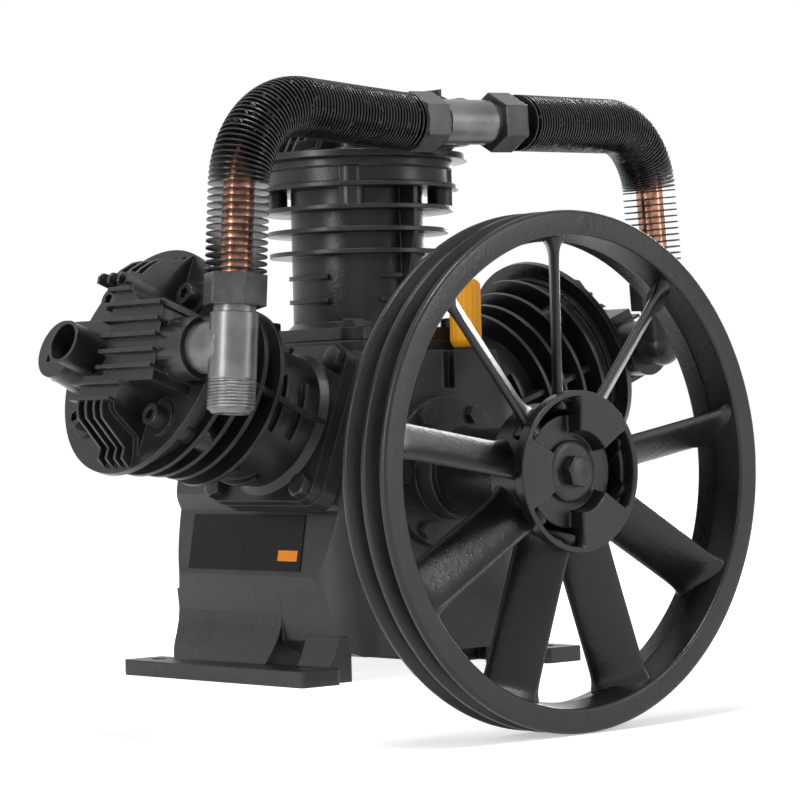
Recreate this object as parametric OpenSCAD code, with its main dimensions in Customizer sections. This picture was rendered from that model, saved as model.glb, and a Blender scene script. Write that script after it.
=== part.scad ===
// Three-cylinder air compressor pump head, W layout, single stage, belt driven.
// Millimetres. X runs left to right, Y along the crankshaft with the flywheel at -Y, Z is up.
// The origin is the centre of the four foot bolt holes, on the underside of the feet.

/* [Crank and cylinders] */
// Height of the crankshaft axis above the feet
crank_z = 153.6; // [145:1:170]
// Half of the piston stroke
crank_radius = 30; // [26:1:32]
// Bore of each cylinder
bore_d = 90; // [80:1:92]
// Thickness of the barrel wall
barrel_wall = 7.3; // [6:0.5:9]
// Lean of each side cylinder from the upright one, in degrees
bank_angle = 69; // [66:1:70]
// Distance between neighbouring cylinders along the crankshaft
cylinder_step = 22; // [21.5:0.5:23]
// Place of the middle cylinder along the crankshaft
middle_y = -18; // [-20:1:-16]
// Distance from the crankshaft axis to the cylinder seats on the crankcase
seat_s = 102; // [98:1:108]
// Distance between centres of the connecting rod's two eyes
rod_length = 173; // [170:1:175]

/* [Crankcase] */
// Front face of the crankcase
case_front_y = -110; // [-112:1:-108]
// Rear face of the crankcase
case_rear_y = 99; // [96:1:103]
// Underside of the sump
sump_z = 18; // [15:1:24]
// Thickness of the crankcase walls
case_wall = 8; // [6:0.5:9]
// Half width of the crankcase at its widest
case_half_w = 101; // [98:1:104]
// Thickness of the feet
foot_t = 12; // [10:1:15]
// Length of the feet
foot_l = 221; // [215:1:240]
// How far the feet stand out from the side of the crankcase
foot_reach = 43; // [39:1:49]
// How far the feet's inner edge is outside the side of the crankcase
foot_inset = 5.5; // [3:0.5:9]
// How far the foot holes are outside the side of the crankcase
foot_hole_out = 24; // [22:1:27]
// Distance between the foot holes along the pump
foot_hole_y = 178; // [170:1:182]
// Diameter of the foot holes
foot_hole_d = 13; // [11:1:15]

/* [Flywheel] */
// Outer diameter of the flywheel
wheel_d = 380; // [360:5:400]
// Width of the rim
rim_w = 45.7; // [44:0.5:48]
// Front plane of the rim and hub
wheel_front_y = -259.4; // [-262:1:-257]
// Radial thickness of the rim
rim_t = 18; // [16:1:22]
// Distance between the two belt grooves
groove_pitch = 19; // [18:0.5:20]
// Width of a belt groove at the rim's surface
groove_w = 16.5; // [14:0.5:17]
// Depth of a belt groove
groove_depth = 11.5; // [9:0.5:13]
// Number of fan blades
blade_count = 9; // [7:1:10]
// Chord of a blade
blade_chord = 41; // [36:1:46]
// Thickness of a blade
blade_t = 7; // [5:0.5:9]
// Angle of a blade's chord to the plane of the wheel, in degrees
blade_pitch = 48; // [40:1:55]
// Diameter of the hub disc
hub_d = 118; // [112:1:124]

/* [Cooling pipes] */
// Outer diameter of the copper pipe
pipe_d = 22; // [20:0.5:24]
// Wall of the copper pipe
pipe_wall = 1.5; // [1:0.25:2]
// Outer diameter of the fins on the pipe
pipe_fin_d = 43; // [40:1:45]
// Thickness of a pipe fin
pipe_fin_t = 0.8; // [0.6:0.1:1.2]
// Distance between fins on the upright leg
loose_pitch = 5; // [4:0.5:7]
// Distance between fins on the bends and the level run
dense_pitch = 3.2; // [2.8:0.2:4]
// Width across flats of the union nuts
nut_flats = 39.5; // [38:0.5:41]

/* [Oil filler] */
// Diameter of the filler cap
cap_d = 24.6; // [22:0.5:25]
// Height of the filler cap above its seat
cap_h = 53; // [45:1:60]

/* [Hidden] */
$fn = 96;
over = 1;                 // overrun of every cut
slip = 0.3;               // gap between pieces that only pass each other
fit = 0.05;               // radial gap of a running or push fit
bolt_gap = 0.5;           // radial gap round a bolt in its clearance hole
piston_crown = 31.5;      // crown of a piston above its wrist pin's centre
squish = 0.5;             // between the middle piston at the top and the deck
deck_s = crank_radius + rod_length + piston_crown + squish;    // from the crankshaft axis
foot_outer_x = case_half_w + foot_reach;
foot_inner_x = case_half_w + foot_inset;
foot_hole_x = 2 * (case_half_w + foot_hole_out);

// Places one piece in the frame of a bank: -1 left, 0 middle, 1 right.
// There +Z runs out along the bore, and -Y stays the flywheel side.
module bank(side) {
    translate([0, middle_y + side * cylinder_step, crank_z])
        rotate([0, side * bank_angle, 0]) children();
}

// A cylinder on the crankshaft axis, from y0 to y1
module shaft_part(r, y0, y1) {
    translate([0, y0, crank_z]) rotate([-90, 0, 0]) cylinder(r = r, h = y1 - y0);
}

// Puts children drawn along +Z on a face that looks to +Y
module on_rear(y) { translate([0, y, crank_z]) rotate([-90, 0, 0]) children(); }

// Puts children drawn along +Z on a face that looks to -Y
module on_front(y) { translate([0, y, crank_z]) rotate([90, 0, 0]) children(); }

// A round bar or tube that starts at the origin
module tube(outer_r, inner_r, h) {
    difference() {
        cylinder(r = outer_r, h = h);
        translate([0, 0, -over]) cylinder(r = inner_r, h = h + 2 * over);
    }
}

// A rounded rectangle as a drawing
module rounded(w, d, r) {
    square([w - 2 * r, d], center = true);
    square([w, d - 2 * r], center = true);
    for (x = [-1, 1], y = [-1, 1])
        translate([x * (w / 2 - r), y * (d / 2 - r)]) circle(r = r);
}

// Children at the four corners of a square
module at_corners(half) {
    for (x = [-1, 1], y = [-1, 1]) translate([x * half, y * half, 0]) children();
}

// Children evenly round a circle
module around(count, r, start) {
    for (i = [0 : count - 1]) rotate(start + i * 360 / count) translate([r, 0, 0]) children();
}

// Extrudes a drawing of [x, z] along Y
module along_y(y0, y1) {
    translate([0, y1, 0]) rotate([90, 0, 0]) linear_extrude(y1 - y0) children();
}

// A hexagon bolt: the head's underside is at zero, the shank points down
module hex_bolt(r, head_flats, head_h, length) {
    cylinder(d = head_flats / cos(30), h = head_h, $fn = 6);
    translate([0, 0, -length]) cylinder(r = r, h = length + head_h / 2);
}

// CRANKCASE
// A cast iron box that follows the W of the three cylinder seats, open at the rear for the
// crankshaft, with a foot along each side.
bore_r = bore_d / 2;
barrel_r = bore_r + barrel_wall;
seat_land = 9.7;          // from the barrel to the edge of its square seat
seat_size = 2 * (barrel_r + seat_land);
seat_round = 14;          // corner radius of the seats
seat_block = 14;          // depth of the block behind each seat
seat_bolt_edge = 11.4;    // seat bolts from the edge of the seat
seat_bolt_at = seat_size / 2 - seat_bolt_edge;
seat_bolt_r = 5;
seat_thread = 20;         // depth of the tapped holes in the seats
flange_t = 9.4;           // cylinder flange
seat_gasket_t = 0.6;
spigot_l = 9;             // how far a barrel reaches into the crankcase
spigot_step = 2.3;        // the spigot is this much slimmer than the barrel
spigot_r = barrel_r - spigot_step;
gasket_edge = 0.5;        // gaskets stay this far inside the edges they seal
shoulder_rise = 93.4;     // top of the crankcase above the crankshaft axis
shoulder_z = crank_z + shoulder_rise;
shell_top_x = 58;
corner_r = 40;            // upright corners of the crankcase in front
rear_corner_r = 10;       // behind
wall_corner_r = 24;       // of the walls that stand on the feet
web_top_z = 34;           // webs that join the crankcase's front corners to the feet
web_reach = 15;           // how far they reach in under the sump's corners
web_in = 12;
web_l = 38;
web_from_y = case_front_y + web_in;
plan_mid_y = (case_front_y + case_rear_y) / 2;
wall_flare = 13;
wall_foot_x = case_half_w + wall_flare;    // where the wall lands on the foot
wall_foot_y = -30;        // where that wall starts behind the front bolt
neck_z = 50;              // the wall is narrowest here above the foot
neck_in = 4;
belly_z = 78;             // and widest here
chest_z = 128;            // under the seat
chest_in = 9;
sump_corner = 22;
swell_steps = 5;          // flats that stand for a soft curve of the wall
flare_steps = 4;
seat_back_s = seat_s - seat_block;
side_cos = cos(bank_angle);
side_sin = sin(bank_angle);
foot_mid_x = foot_hole_x / 2;
foot_hole_r = foot_hole_d / 2;
foot_round = 4;

// A point of the right bank's frame as [x, z]: s out along the bore, t upwards across it
function bank_point(s, t) = [s * side_sin - t * side_cos, crank_z + s * side_cos + t * side_sin];
// The same line on the left
function mirrored(points) = [for (i = [len(points) - 1 : -1 : 0]) [-points[i][0], points[i][1]]];

// A soft S between two points of a wall, without its first point
function swell(from, to) = [for (i = [1 : swell_steps]) let (t = i / swell_steps)
    [from[0] + (to[0] - from[0]) * (1 - cos(180 * t)) / 2, from[1] + (to[1] - from[1]) * t]];
// The same wall drawn in by its thickness
function drawn_in(wall, points) = [for (p = points) [p[0] - wall, p[1]]];

neck_point = [case_half_w - neck_in, neck_z];
belly_point = [case_half_w, belly_z];
// The right half of the crankcase seen along the shaft, drawn in by a wall's thickness
function case_half(wall) = [
    [case_half_w - sump_corner, sump_z + wall],
    [case_half_w - sump_corner / 2 - wall / 2, sump_z + sump_corner / 5 + wall],
    [case_half_w - sump_corner / 4 - wall, sump_z + sump_corner / 2 + wall / 2],
    each drawn_in(wall, [neck_point]),
    each drawn_in(wall, swell(neck_point, belly_point)),
    [case_half_w - chest_in - wall, chest_z + wall],
    bank_point(seat_back_s - wall, -seat_size / 2 + seat_round + wall),
    bank_point(seat_back_s - wall, seat_size / 2 - seat_round / 2 - wall),
    [shell_top_x - wall, shoulder_z - wall]];

foot_wall = [
    [case_half_w - 3 * case_wall, neck_z + 2 * case_wall],
    [case_half_w - 3 * case_wall, foot_t / 2],
    [wall_foot_x, foot_t / 2],
    each [for (i = [0 : flare_steps]) let (t = 1 - i / flare_steps)
        [neck_point[0] + (wall_foot_x - neck_point[0]) * t * t, neck_z - (neck_z - foot_t) * t]],
    [case_half_w - neck_in / 2, neck_z + 2 * case_wall]];
front_wall = 26;          // thick enough to hold the front bearing
rear_wall = 16;
cavity_front_y = case_front_y + front_wall;
bearing_outer_r = 40;
bearing_inner_r = 20;
bearing_w = 18;
bearing_lip = 6;          // shoulder that the bearings rest on
cover_gasket_t = 0.5;
bearing_recess = 4;
front_bearing_y = case_front_y + bearing_recess;
rear_window_r = 67;       // opening that the rear cover closes
rear_bolt_circle_r = 76;
rear_bolt_count = 8;
front_flange_r = 58;
front_bolt_circle_r = 50;
front_bolt_count = 6;
cover_bolt_r = 4;
cover_bolt_flats = 13;
cover_bolt_head = 5.3;
cover_bolt_depth = 14;
drain_r = 8;
drain_z = sump_z + drain_r + case_wall;
drain_thread = 12;
drain_flats = 21;
drain_head = 8;
filler_x = 43;
filler_in = 17;           // behind the front face
filler_y = case_front_y + filler_in;
filler_hole_r = 9;
filler_boss_r = 13;
groove_x = 9;             // upright groove in the front face
groove_face_w = 12;
groove_face_deep = 7;
groove_above = 6;         // the groove starts this far above the front cover
groove_face_z = crank_z + front_flange_r + groove_above;

web_outline = [
    [case_half_w - web_reach, 0],
    [foot_inner_x + over, 0],
    [foot_inner_x + over, foot_t],
    [foot_inner_x - foot_inset / 2, foot_t + foot_inset],
    [case_half_w - neck_in, web_top_z],
    [case_half_w - web_reach, web_top_z]];

// The crankcase from above, with its own corners in front and behind
module case_plan(half_w, front_r, rear_r) {
    depth = case_rear_y - case_front_y;
    intersection() {
        rounded(2 * half_w, depth, front_r);
        translate([-half_w, -depth / 2]) square([2 * half_w, depth / 2]);
    }
    intersection() {
        rounded(2 * half_w, depth, rear_r);
        translate([-half_w, 0]) square([2 * half_w, depth / 2]);
    }
}

module case_outline(wall) {
    polygon(concat(case_half(wall), mirrored(case_half(wall))));
}

module case_body() {
    intersection() {
        along_y(case_front_y, case_rear_y) case_outline(0);
        translate([0, plan_mid_y, 0]) linear_extrude(shoulder_z + over)
            case_plan(case_half_w, corner_r, rear_corner_r);
    }
    intersection() {
        for (side = [0, 1]) mirror([side, 0, 0]) along_y(wall_foot_y, case_rear_y) polygon(foot_wall);
        translate([0, plan_mid_y, 0]) linear_extrude(shoulder_z + over)
            rounded(2 * (wall_foot_x + over), case_rear_y - case_front_y, wall_corner_r);
    }
    for (side = [0, 1]) mirror([side, 0, 0]) along_y(web_from_y, web_from_y + web_l) polygon(web_outline);
    for (side = [-1, 0, 1]) bank(side) translate([0, 0, seat_back_s])
        linear_extrude(seat_block) rounded(seat_size, seat_size, seat_round);
    for (side = [-1, 1]) {
        translate([side * (foot_outer_x + foot_inner_x) / 2, 0, 0]) linear_extrude(foot_t)
            rounded(foot_outer_x - foot_inner_x, foot_l, foot_round);
        translate([side * (case_half_w - case_wall), (wall_foot_y + case_rear_y - wall_corner_r) / 2, 0])
            linear_extrude(foot_t) square([2 * (wall_foot_x - case_half_w + case_wall),
                case_rear_y - wall_corner_r - wall_foot_y], center = true);
    }
}

module case_cavity() {
    intersection() {
        along_y(cavity_front_y, case_rear_y - rear_wall) case_outline(case_wall);
        translate([0, plan_mid_y, 0]) linear_extrude(shoulder_z)
            case_plan(case_half_w - case_wall, corner_r - case_wall, rear_corner_r - case_wall);
    }
}

module crankcase() {
    color("#1c1c1f") difference() {
        union() {
            case_body();
            translate([filler_x, filler_y, shoulder_z - case_wall]) cylinder(r = filler_boss_r, h = case_wall);
        }
        case_cavity();
        for (side = [-1, 0, 1]) bank(side) {
            translate([0, 0, seat_back_s - 3 * case_wall])
                cylinder(r = spigot_r + slip, h = seat_block + 3 * case_wall + over);
            translate([0, 0, seat_s - seat_thread]) at_corners(seat_bolt_at)
                cylinder(r = seat_bolt_r + fit, h = seat_thread + over);
        }
        shaft_part(bearing_outer_r + fit, case_front_y - over, front_bearing_y + bearing_w);
        shaft_part(bearing_outer_r - bearing_lip, case_front_y, cavity_front_y + over);
        shaft_part(rear_window_r, case_rear_y - rear_wall - over, case_rear_y + over);
        on_rear(case_rear_y) around(rear_bolt_count, rear_bolt_circle_r, 180 / rear_bolt_count)
            translate([0, 0, -cover_bolt_depth]) cylinder(r = cover_bolt_r + fit, h = cover_bolt_depth + over);
        on_front(case_front_y) around(front_bolt_count, front_bolt_circle_r, 0)
            translate([0, 0, -cover_bolt_depth]) cylinder(r = cover_bolt_r + fit, h = cover_bolt_depth + over);
        for (x = [-1, 1], y = [-1, 1]) translate([x * foot_mid_x, y * foot_hole_y / 2, -over])
            cylinder(r = foot_hole_r, h = foot_t + 2 * over);
        translate([filler_x, filler_y, shoulder_z - 2 * case_wall])
            cylinder(r = filler_hole_r, h = 2 * case_wall + over);
        translate([0, case_rear_y + over, drain_z]) rotate([90, 0, 0])
            cylinder(r = drain_r + fit, h = rear_wall + 2 * over);
        translate([groove_x - groove_face_w / 2, case_front_y - over, groove_face_z])
            cube([groove_face_w, groove_face_deep + over, shoulder_z - groove_face_z + over]);
    }
}

// COVERS, BEARINGS AND SEAL
// The front cover carries the shaft seal, the rear cover carries the rear bearing.
cover_t = 8;
nose_r = 36;
nose_l = 26.5;            // from the crankcase face to the end of the nose
nose_bore_r = 24;
seal_r = 31;
seal_w = 8;
rear_cover_r = 84;
rear_boss_r = 52;
rear_bearing_y = 64;
rear_shaft_room = 8;      // beyond the end of the crankshaft
sight_r = 9;
sight_edge = 2;           // between the glass and the edge of the cover's spigot
sight_drop = rear_window_r - sight_r - sight_edge;    // below the crankshaft axis
sight_rim = 4;
ball_count = 9;
ball_r = 5.5;
race_t = 6.5;             // radial thickness of each bearing ring
ball_path_r = (bearing_outer_r + bearing_inner_r) / 2;

front_cover_y = case_front_y - cover_gasket_t - cover_t;
rear_cover_y = case_rear_y + cover_gasket_t;

module front_cover() {
    color("#232326") difference() {
        union() {
            shaft_part(front_flange_r, front_cover_y, front_cover_y + cover_t);
            shaft_part(nose_r, case_front_y - nose_l, front_cover_y + cover_t);
            shaft_part(bearing_outer_r - fit, front_cover_y, front_bearing_y - fit);
        }
        shaft_part(nose_bore_r, case_front_y - nose_l - over, front_bearing_y + over);
        shaft_part(seal_r + fit, case_front_y - nose_l - over, case_front_y - nose_l + seal_w + over);
        on_front(front_cover_y) around(front_bolt_count, front_bolt_circle_r, 0)
            translate([0, 0, -cover_t - over]) cylinder(r = cover_bolt_r + bolt_gap, h = cover_t + 2 * over);
    }
}

module front_cover_gasket() {
    color("#3a3a36") on_front(case_front_y) difference() {
        tube(front_flange_r - gasket_edge, bearing_outer_r + slip, cover_gasket_t);
        around(front_bolt_count, front_bolt_circle_r, 0)
            translate([0, 0, -over]) cylinder(r = cover_bolt_r + bolt_gap, h = cover_gasket_t + 2 * over);
    }
}

module rear_cover() {
    color("#232326") difference() {
        union() {
            shaft_part(rear_cover_r, rear_cover_y, rear_cover_y + cover_t);
            shaft_part(rear_window_r - slip, case_rear_y - cover_t / 2, rear_cover_y + over);
            shaft_part(rear_boss_r, rear_bearing_y - fit, rear_cover_y + over);
        }
        shaft_part(bearing_outer_r + fit, rear_bearing_y - over, rear_bearing_y + bearing_w);
        shaft_part(nose_bore_r, rear_bearing_y, rear_bearing_y + bearing_w + rear_shaft_room);
        on_rear(rear_cover_y) around(rear_bolt_count, rear_bolt_circle_r, 180 / rear_bolt_count)
            translate([0, 0, -over]) cylinder(r = cover_bolt_r + bolt_gap, h = cover_t + 2 * over);
        translate([0, case_rear_y - cover_t, crank_z - sight_drop]) rotate([-90, 0, 0])
            cylinder(r = sight_r + fit, h = 3 * cover_t);
    }
}

module rear_cover_gasket() {
    color("#3a3a36") on_rear(case_rear_y) difference() {
        tube(rear_cover_r - gasket_edge, rear_window_r, cover_gasket_t);
        around(rear_bolt_count, rear_bolt_circle_r, 180 / rear_bolt_count)
            translate([0, 0, -over]) cylinder(r = cover_bolt_r + bolt_gap, h = cover_gasket_t + 2 * over);
    }
}

module cover_bolt() {
    hex_bolt(cover_bolt_r, cover_bolt_flats, cover_bolt_head, cover_t + cover_gasket_t + cover_bolt_depth - over);
}

module rear_cover_bolts() {
    color("#5a5a5e") on_rear(rear_cover_y + cover_t)
        around(rear_bolt_count, rear_bolt_circle_r, 180 / rear_bolt_count) cover_bolt();
}

module front_cover_bolts() {
    color("#5a5a5e") on_front(front_cover_y) around(front_bolt_count, front_bolt_circle_r, 0) cover_bolt();
}

module ball_bearing(y) {
    color("#b9bcc0") translate([0, y, crank_z]) rotate([-90, 0, 0]) {
        difference() {
            union() {
                tube(bearing_outer_r, bearing_outer_r - race_t, bearing_w);
                tube(bearing_inner_r + race_t, bearing_inner_r + fit, bearing_w);
            }
            translate([0, 0, bearing_w / 2]) rotate_extrude() translate([ball_path_r, 0]) circle(r = ball_r + fit);
        }
        translate([0, 0, bearing_w / 2]) around(ball_count, ball_path_r, 0) sphere(r = ball_r);
    }
}

module front_bearing() { ball_bearing(front_bearing_y); }
module rear_bearing() { ball_bearing(rear_bearing_y); }

module shaft_seal() {
    color("#3b2a22") on_front(case_front_y - nose_l + seal_w) tube(seal_r, bearing_inner_r + fit, seal_w);
}

module sight_glass() {
    color("#cfd8c8") translate([0, case_rear_y - cover_t / 2, crank_z - sight_drop]) rotate([-90, 0, 0]) {
        cylinder(r = sight_r, h = 1.5 * cover_t + cover_gasket_t + over);
        translate([0, 0, 1.5 * cover_t + cover_gasket_t]) cylinder(r = sight_r + sight_rim, h = sight_rim);
    }
}

module drain_plug() {
    color("#5a5a5e") translate([0, case_rear_y, drain_z]) rotate([-90, 0, 0])
        hex_bolt(drain_r, drain_flats, drain_head, drain_thread);
}

// OIL FILLER CAP
// A tall fluted plastic cap on the shoulder of the crankcase, which pulls up out of its hole.
cap_seal_t = 2;
cap_stem_l = 14;
flute_count = 18;
flute_r = 1.2;
cap_r = cap_d / 2;
cap_round = 2.5;

module cap_shape() {
    rotate_extrude() polygon([[0, 0], [cap_r - cap_round, 0], [cap_r, 2 * cap_round],
        [cap_r, cap_h - cap_round], [cap_r - cap_round, cap_h], [0, cap_h]]);
}

module oil_cap() {
    color("#f59a12") translate([filler_x, filler_y, shoulder_z + cap_seal_t]) {
        difference() {
            cap_shape();
            around(flute_count, cap_r + flute_r / 3, 0)
                translate([0, 0, 2 * cap_round]) cylinder(r = flute_r, h = cap_h - 4 * cap_round);
        }
        translate([0, 0, -cap_seal_t - cap_stem_l]) cylinder(r = filler_hole_r - slip, h = cap_seal_t + cap_stem_l + over);
    }
}

module cap_seal() {
    color("#111111") translate([filler_x, filler_y, shoulder_z])
        tube(cap_r - cap_round, filler_hole_r + slip, cap_seal_t - fit);
}

// LABEL PLATE
// A blank black plate on the left wall, under the side cylinder.
label_l = 137;
label_h = 43;
label_t = 0.8;
label_y = 11;
label_lean = atan2(chest_in, chest_z - belly_z);
label_mid_z = (chest_z + belly_z) / 2;

module label_plate() {
    color("#0a0a0a") translate([-case_half_w + chest_in / 2, label_y, label_mid_z])
        rotate([0, label_lean, 0]) translate([-label_t, -label_l / 2, -label_h / 2])
        cube([label_t, label_l, label_h]);
}

// CRANKSHAFT
// The shaft with the flywheel's seat turns in the front bearing. The throw that it is pressed in,
// with two webs, counterweights and the pin that all three rods share, is a piece of its own: the
// rods rest with the crankcase and so does the throw, while the shaft turns in its bore.
pin_r = 15;
rod_w = 20;               // width of a rod's big end
web_gap = 0.5;
web_t = 15.5;
web_pin_r = 25;
web_hub_r = 30;
web_bore_r = 18;          // where the front web holds the shaft
web_floor = 2;            // metal left behind the shaft's end
weight_r = 62;
collar_r = 26;
wheel_shaft_r = 17.5;
shaft_end_in = 14.4;      // the shaft ends this far behind the wheel's front plane
wheel_shaft_end_y = wheel_front_y + shaft_end_in;
wheel_nose_gap = 5;       // between the wheel's neck and the crankcase's nose
wheel_seat_y = case_front_y - nose_l - wheel_nose_gap;
front_web_y = middle_y - cylinder_step - rod_w / 2 - web_gap;
rear_web_y = middle_y + cylinder_step + rod_w / 2 + web_gap;
key_w = 10;
key_h = 8;
key_l = 40;
key_in = 40;              // the key starts this far behind the wheel's front plane
key_y = wheel_front_y + key_in;
bolt_r = 7;
bolt_flats = 21;
bolt_head = 9;
bolt_l = 34;

module web(y0) {
    translate([0, y0 + web_t, crank_z]) rotate([90, 0, 0]) linear_extrude(web_t) {
        circle(r = web_hub_r);
        translate([0, crank_radius]) circle(r = web_pin_r);
        translate([-web_pin_r, 0]) square([2 * web_pin_r, crank_radius]);
        intersection() {
            circle(r = weight_r);
            translate([-weight_r, -weight_r]) square([2 * weight_r, weight_r - web_hub_r / 3]);
        }
    }
}

module key_block(gap) {
    translate([-key_w / 2 - gap, key_y - gap, crank_z + wheel_shaft_r - key_h / 2 - gap])
        cube([key_w + 2 * gap, key_l + 2 * gap, key_h + 2 * gap]);
}

module crankshaft() {
    color("#77797d") difference() {
        union() {
            shaft_part(wheel_shaft_r, wheel_shaft_end_y, wheel_seat_y + over);
            shaft_part(bearing_inner_r, wheel_seat_y, front_bearing_y + bearing_w + over);
            shaft_part(collar_r, front_bearing_y + bearing_w, front_web_y - web_t - fit);
            shaft_part(web_bore_r, front_web_y - web_t - over, front_web_y - web_floor - fit);
        }
        key_block(fit);
        shaft_part(bolt_r + fit, wheel_shaft_end_y - over, wheel_shaft_end_y + bolt_l);
    }
}

module crank_throw() {
    color("#77797d") difference() {
        union() {
            web(front_web_y - web_t);
            translate([0, 0, crank_radius]) shaft_part(pin_r, front_web_y - over, rear_web_y + over);
            web(rear_web_y);
            shaft_part(collar_r, rear_web_y + web_t - over, rear_bearing_y);
            shaft_part(bearing_inner_r, rear_bearing_y - over, rear_bearing_y + bearing_w + rear_shaft_room / 4);
        }
        shaft_part(web_bore_r + fit, front_web_y - web_t - over, front_web_y - web_floor);
    }
}

// FLYWHEEL
// A cast wheel with two belt grooves. Its blades are set at an angle, so that it is also the fan.
wheel_r = wheel_d / 2;
rim_inner_r = wheel_r - rim_t;
groove_bottom_w = 6;
rim_edge = 2;             // chamfer of the rim's outer edges
rim_draft = 4;            // the rim is thicker in the middle of its inside
hub_r = hub_d / 2;
hub_disc_t = 9;
hub_body_r = 50;
hub_neck_r = 33;
hub_pad_depth = 13;       // the recess in the hub's face
hub_pocket_depth = 24;    // the deeper pockets in its three arms
hub_recess_r = 29;
hub_arm_r = 54;
hub_pocket_r = 42;
hub_arm_count = 3;
hub_arm_angle = 62;
hub_arm_start = 0;        // one arm points to +X
blade_sink = 4;           // the blades start inside the hub and end inside the rim
blade_root_r = hub_body_r - blade_sink;
blade_tip_r = rim_inner_r + blade_sink / 2;
blade_y = rim_w / 2;      // middle of the blades behind the front plane
washer_r = 23;
washer_t = 5;

module rim_section() {
    mid = rim_w / 2;
    difference() {
        polygon([[rim_inner_r, 0], [wheel_r - rim_edge, 0], [wheel_r, rim_edge], [wheel_r, rim_w - rim_edge],
            [wheel_r - rim_edge, rim_w], [rim_inner_r, rim_w], [rim_inner_r - rim_draft, mid]]);
        for (side = [-1, 1]) translate([0, mid + side * groove_pitch / 2])
            polygon([[wheel_r + over, -groove_w / 2 - over / 3], [wheel_r + over, groove_w / 2 + over / 3],
                [wheel_r - groove_depth, groove_bottom_w / 2], [wheel_r - groove_depth, -groove_bottom_w / 2]]);
    }
}

// A sector of a ring as a drawing, centred on +X
module sector(outer_r, inner_r, angle) {
    difference() {
        intersection() {
            circle(r = outer_r);
            polygon([[0, 0], 2 * outer_r * [cos(angle / 2), sin(angle / 2)],
                2 * outer_r * [cos(angle / 2), -sin(angle / 2)]]);
        }
        circle(r = inner_r);
    }
}

module blade() {
    translate([(blade_root_r + blade_tip_r) / 2, 0, blade_y]) rotate([blade_pitch, 0, 0])
        cube([blade_tip_r - blade_root_r, blade_chord, blade_t], center = true);
}

module flywheel() {
    color("#242427") translate([0, wheel_front_y, crank_z]) rotate([-90, 0, 0]) difference() {
        union() {
            rotate_extrude($fn = 180) rim_section();
            cylinder(r = hub_r, h = hub_disc_t);
            cylinder(r = hub_body_r, h = rim_w);
            cylinder(r = hub_neck_r, h = wheel_seat_y - wheel_front_y - slip);
            for (i = [0 : blade_count - 1]) rotate(-90 + i * 360 / blade_count) blade();
        }
        translate([0, 0, -over]) cylinder(r = hub_recess_r, h = hub_pad_depth + over);
        for (i = [0 : hub_arm_count - 1]) rotate(hub_arm_start + i * 360 / hub_arm_count) {
            translate([0, 0, -over]) linear_extrude(hub_pad_depth + over)
                sector(hub_arm_r, hub_recess_r - over, hub_arm_angle);
            translate([0, 0, -over]) linear_extrude(hub_pocket_depth + over)
                sector(hub_arm_r, hub_pocket_r, hub_arm_angle);
        }
        translate([0, 0, -over]) cylinder(r = wheel_shaft_r + fit, h = wheel_seat_y - wheel_front_y + 2 * over);
        rotate([90, 0, 0]) translate([0, -wheel_front_y, -crank_z]) key_block(fit);
    }
}

module flywheel_key() { color("#77797d") key_block(0); }

module flywheel_washer() {
    color("#2c2c2f") on_front(wheel_front_y + hub_pad_depth) tube(washer_r, bolt_r + fit, washer_t);
}

module flywheel_bolt() {
    color("#4a4a4d") on_front(wheel_front_y + hub_pad_depth - washer_t)
        hex_bolt(bolt_r, bolt_flats, bolt_head, bolt_l);
}

// CYLINDERS
// Finned iron barrels, bolted to the seats by a square flange.
top_flange_r = 72.2;
top_flange_t = 11;
fin_t = 3.5;
fin_pitch = 17;
fin_radii_shares = [1.105, 1.035, 0.98, 0.965];  // of the top flange, from the top down
fin_under_flange = 0.65;  // first fin below the top flange's underside
stub_pitch = 18.4;
stub_fin_r = 57;
stub_fin_count = 2;
stub_fin_angle = 48;
rib_t = 4;                // casting ribs along the barrel on both sides
rib_r = 69;               // at the fins
rib_low_r = 57;           // at the flange
root_fillet = 5;
head_bolt_at = 46;        // head bolts from the cylinder's axis, both ways
head_bolt_r = 5;
head_boss_r = 10;
head_thread = 24;
barrel_base_s = seat_s + seat_gasket_t;
first_fin_s = deck_s - top_flange_t - fin_under_flange - fin_t;

module barrel() {
    fins = len(fin_radii_shares);
    translate([0, 0, barrel_base_s]) linear_extrude(flange_t) rounded(seat_size, seat_size, seat_round);
    translate([0, 0, seat_s - spigot_l]) cylinder(r = spigot_r, h = spigot_l + over);
    translate([0, 0, barrel_base_s]) cylinder(r = barrel_r, h = deck_s - barrel_base_s);
    translate([0, 0, barrel_base_s + flange_t]) cylinder(r1 = barrel_r + root_fillet, r2 = barrel_r, h = root_fillet);
    translate([0, 0, deck_s - top_flange_t]) cylinder(r = top_flange_r, h = top_flange_t);
    for (i = [0 : fins - 1]) translate([0, 0, first_fin_s - i * fin_pitch])
        cylinder(r = top_flange_r * fin_radii_shares[i], h = fin_t);
    for (i = [0 : stub_fin_count - 1], q = [0 : 3])
        translate([0, 0, first_fin_s - (fins - 1) * fin_pitch - (i + 1) * stub_pitch]) rotate(q * 90)
            linear_extrude(fin_t) sector(stub_fin_r, bore_r + over, stub_fin_angle);
    for (side = [0, 1]) mirror([0, side, 0]) translate([-rib_t / 2, 0, 0])
        rotate([90, 0, 90]) linear_extrude(rib_t) polygon([[bore_r + over, barrel_base_s + flange_t / 2],
            [rib_low_r, barrel_base_s + flange_t / 2], [rib_low_r, first_fin_s - (fins + 1) * fin_pitch],
            [rib_r, first_fin_s - (fins - 2) * fin_pitch], [rib_r, first_fin_s], [bore_r + over, first_fin_s]]);
    translate([0, 0, first_fin_s - fin_pitch + over]) at_corners(head_bolt_at)
        cylinder(r = head_boss_r, h = deck_s - first_fin_s + fin_pitch - over);
}

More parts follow.
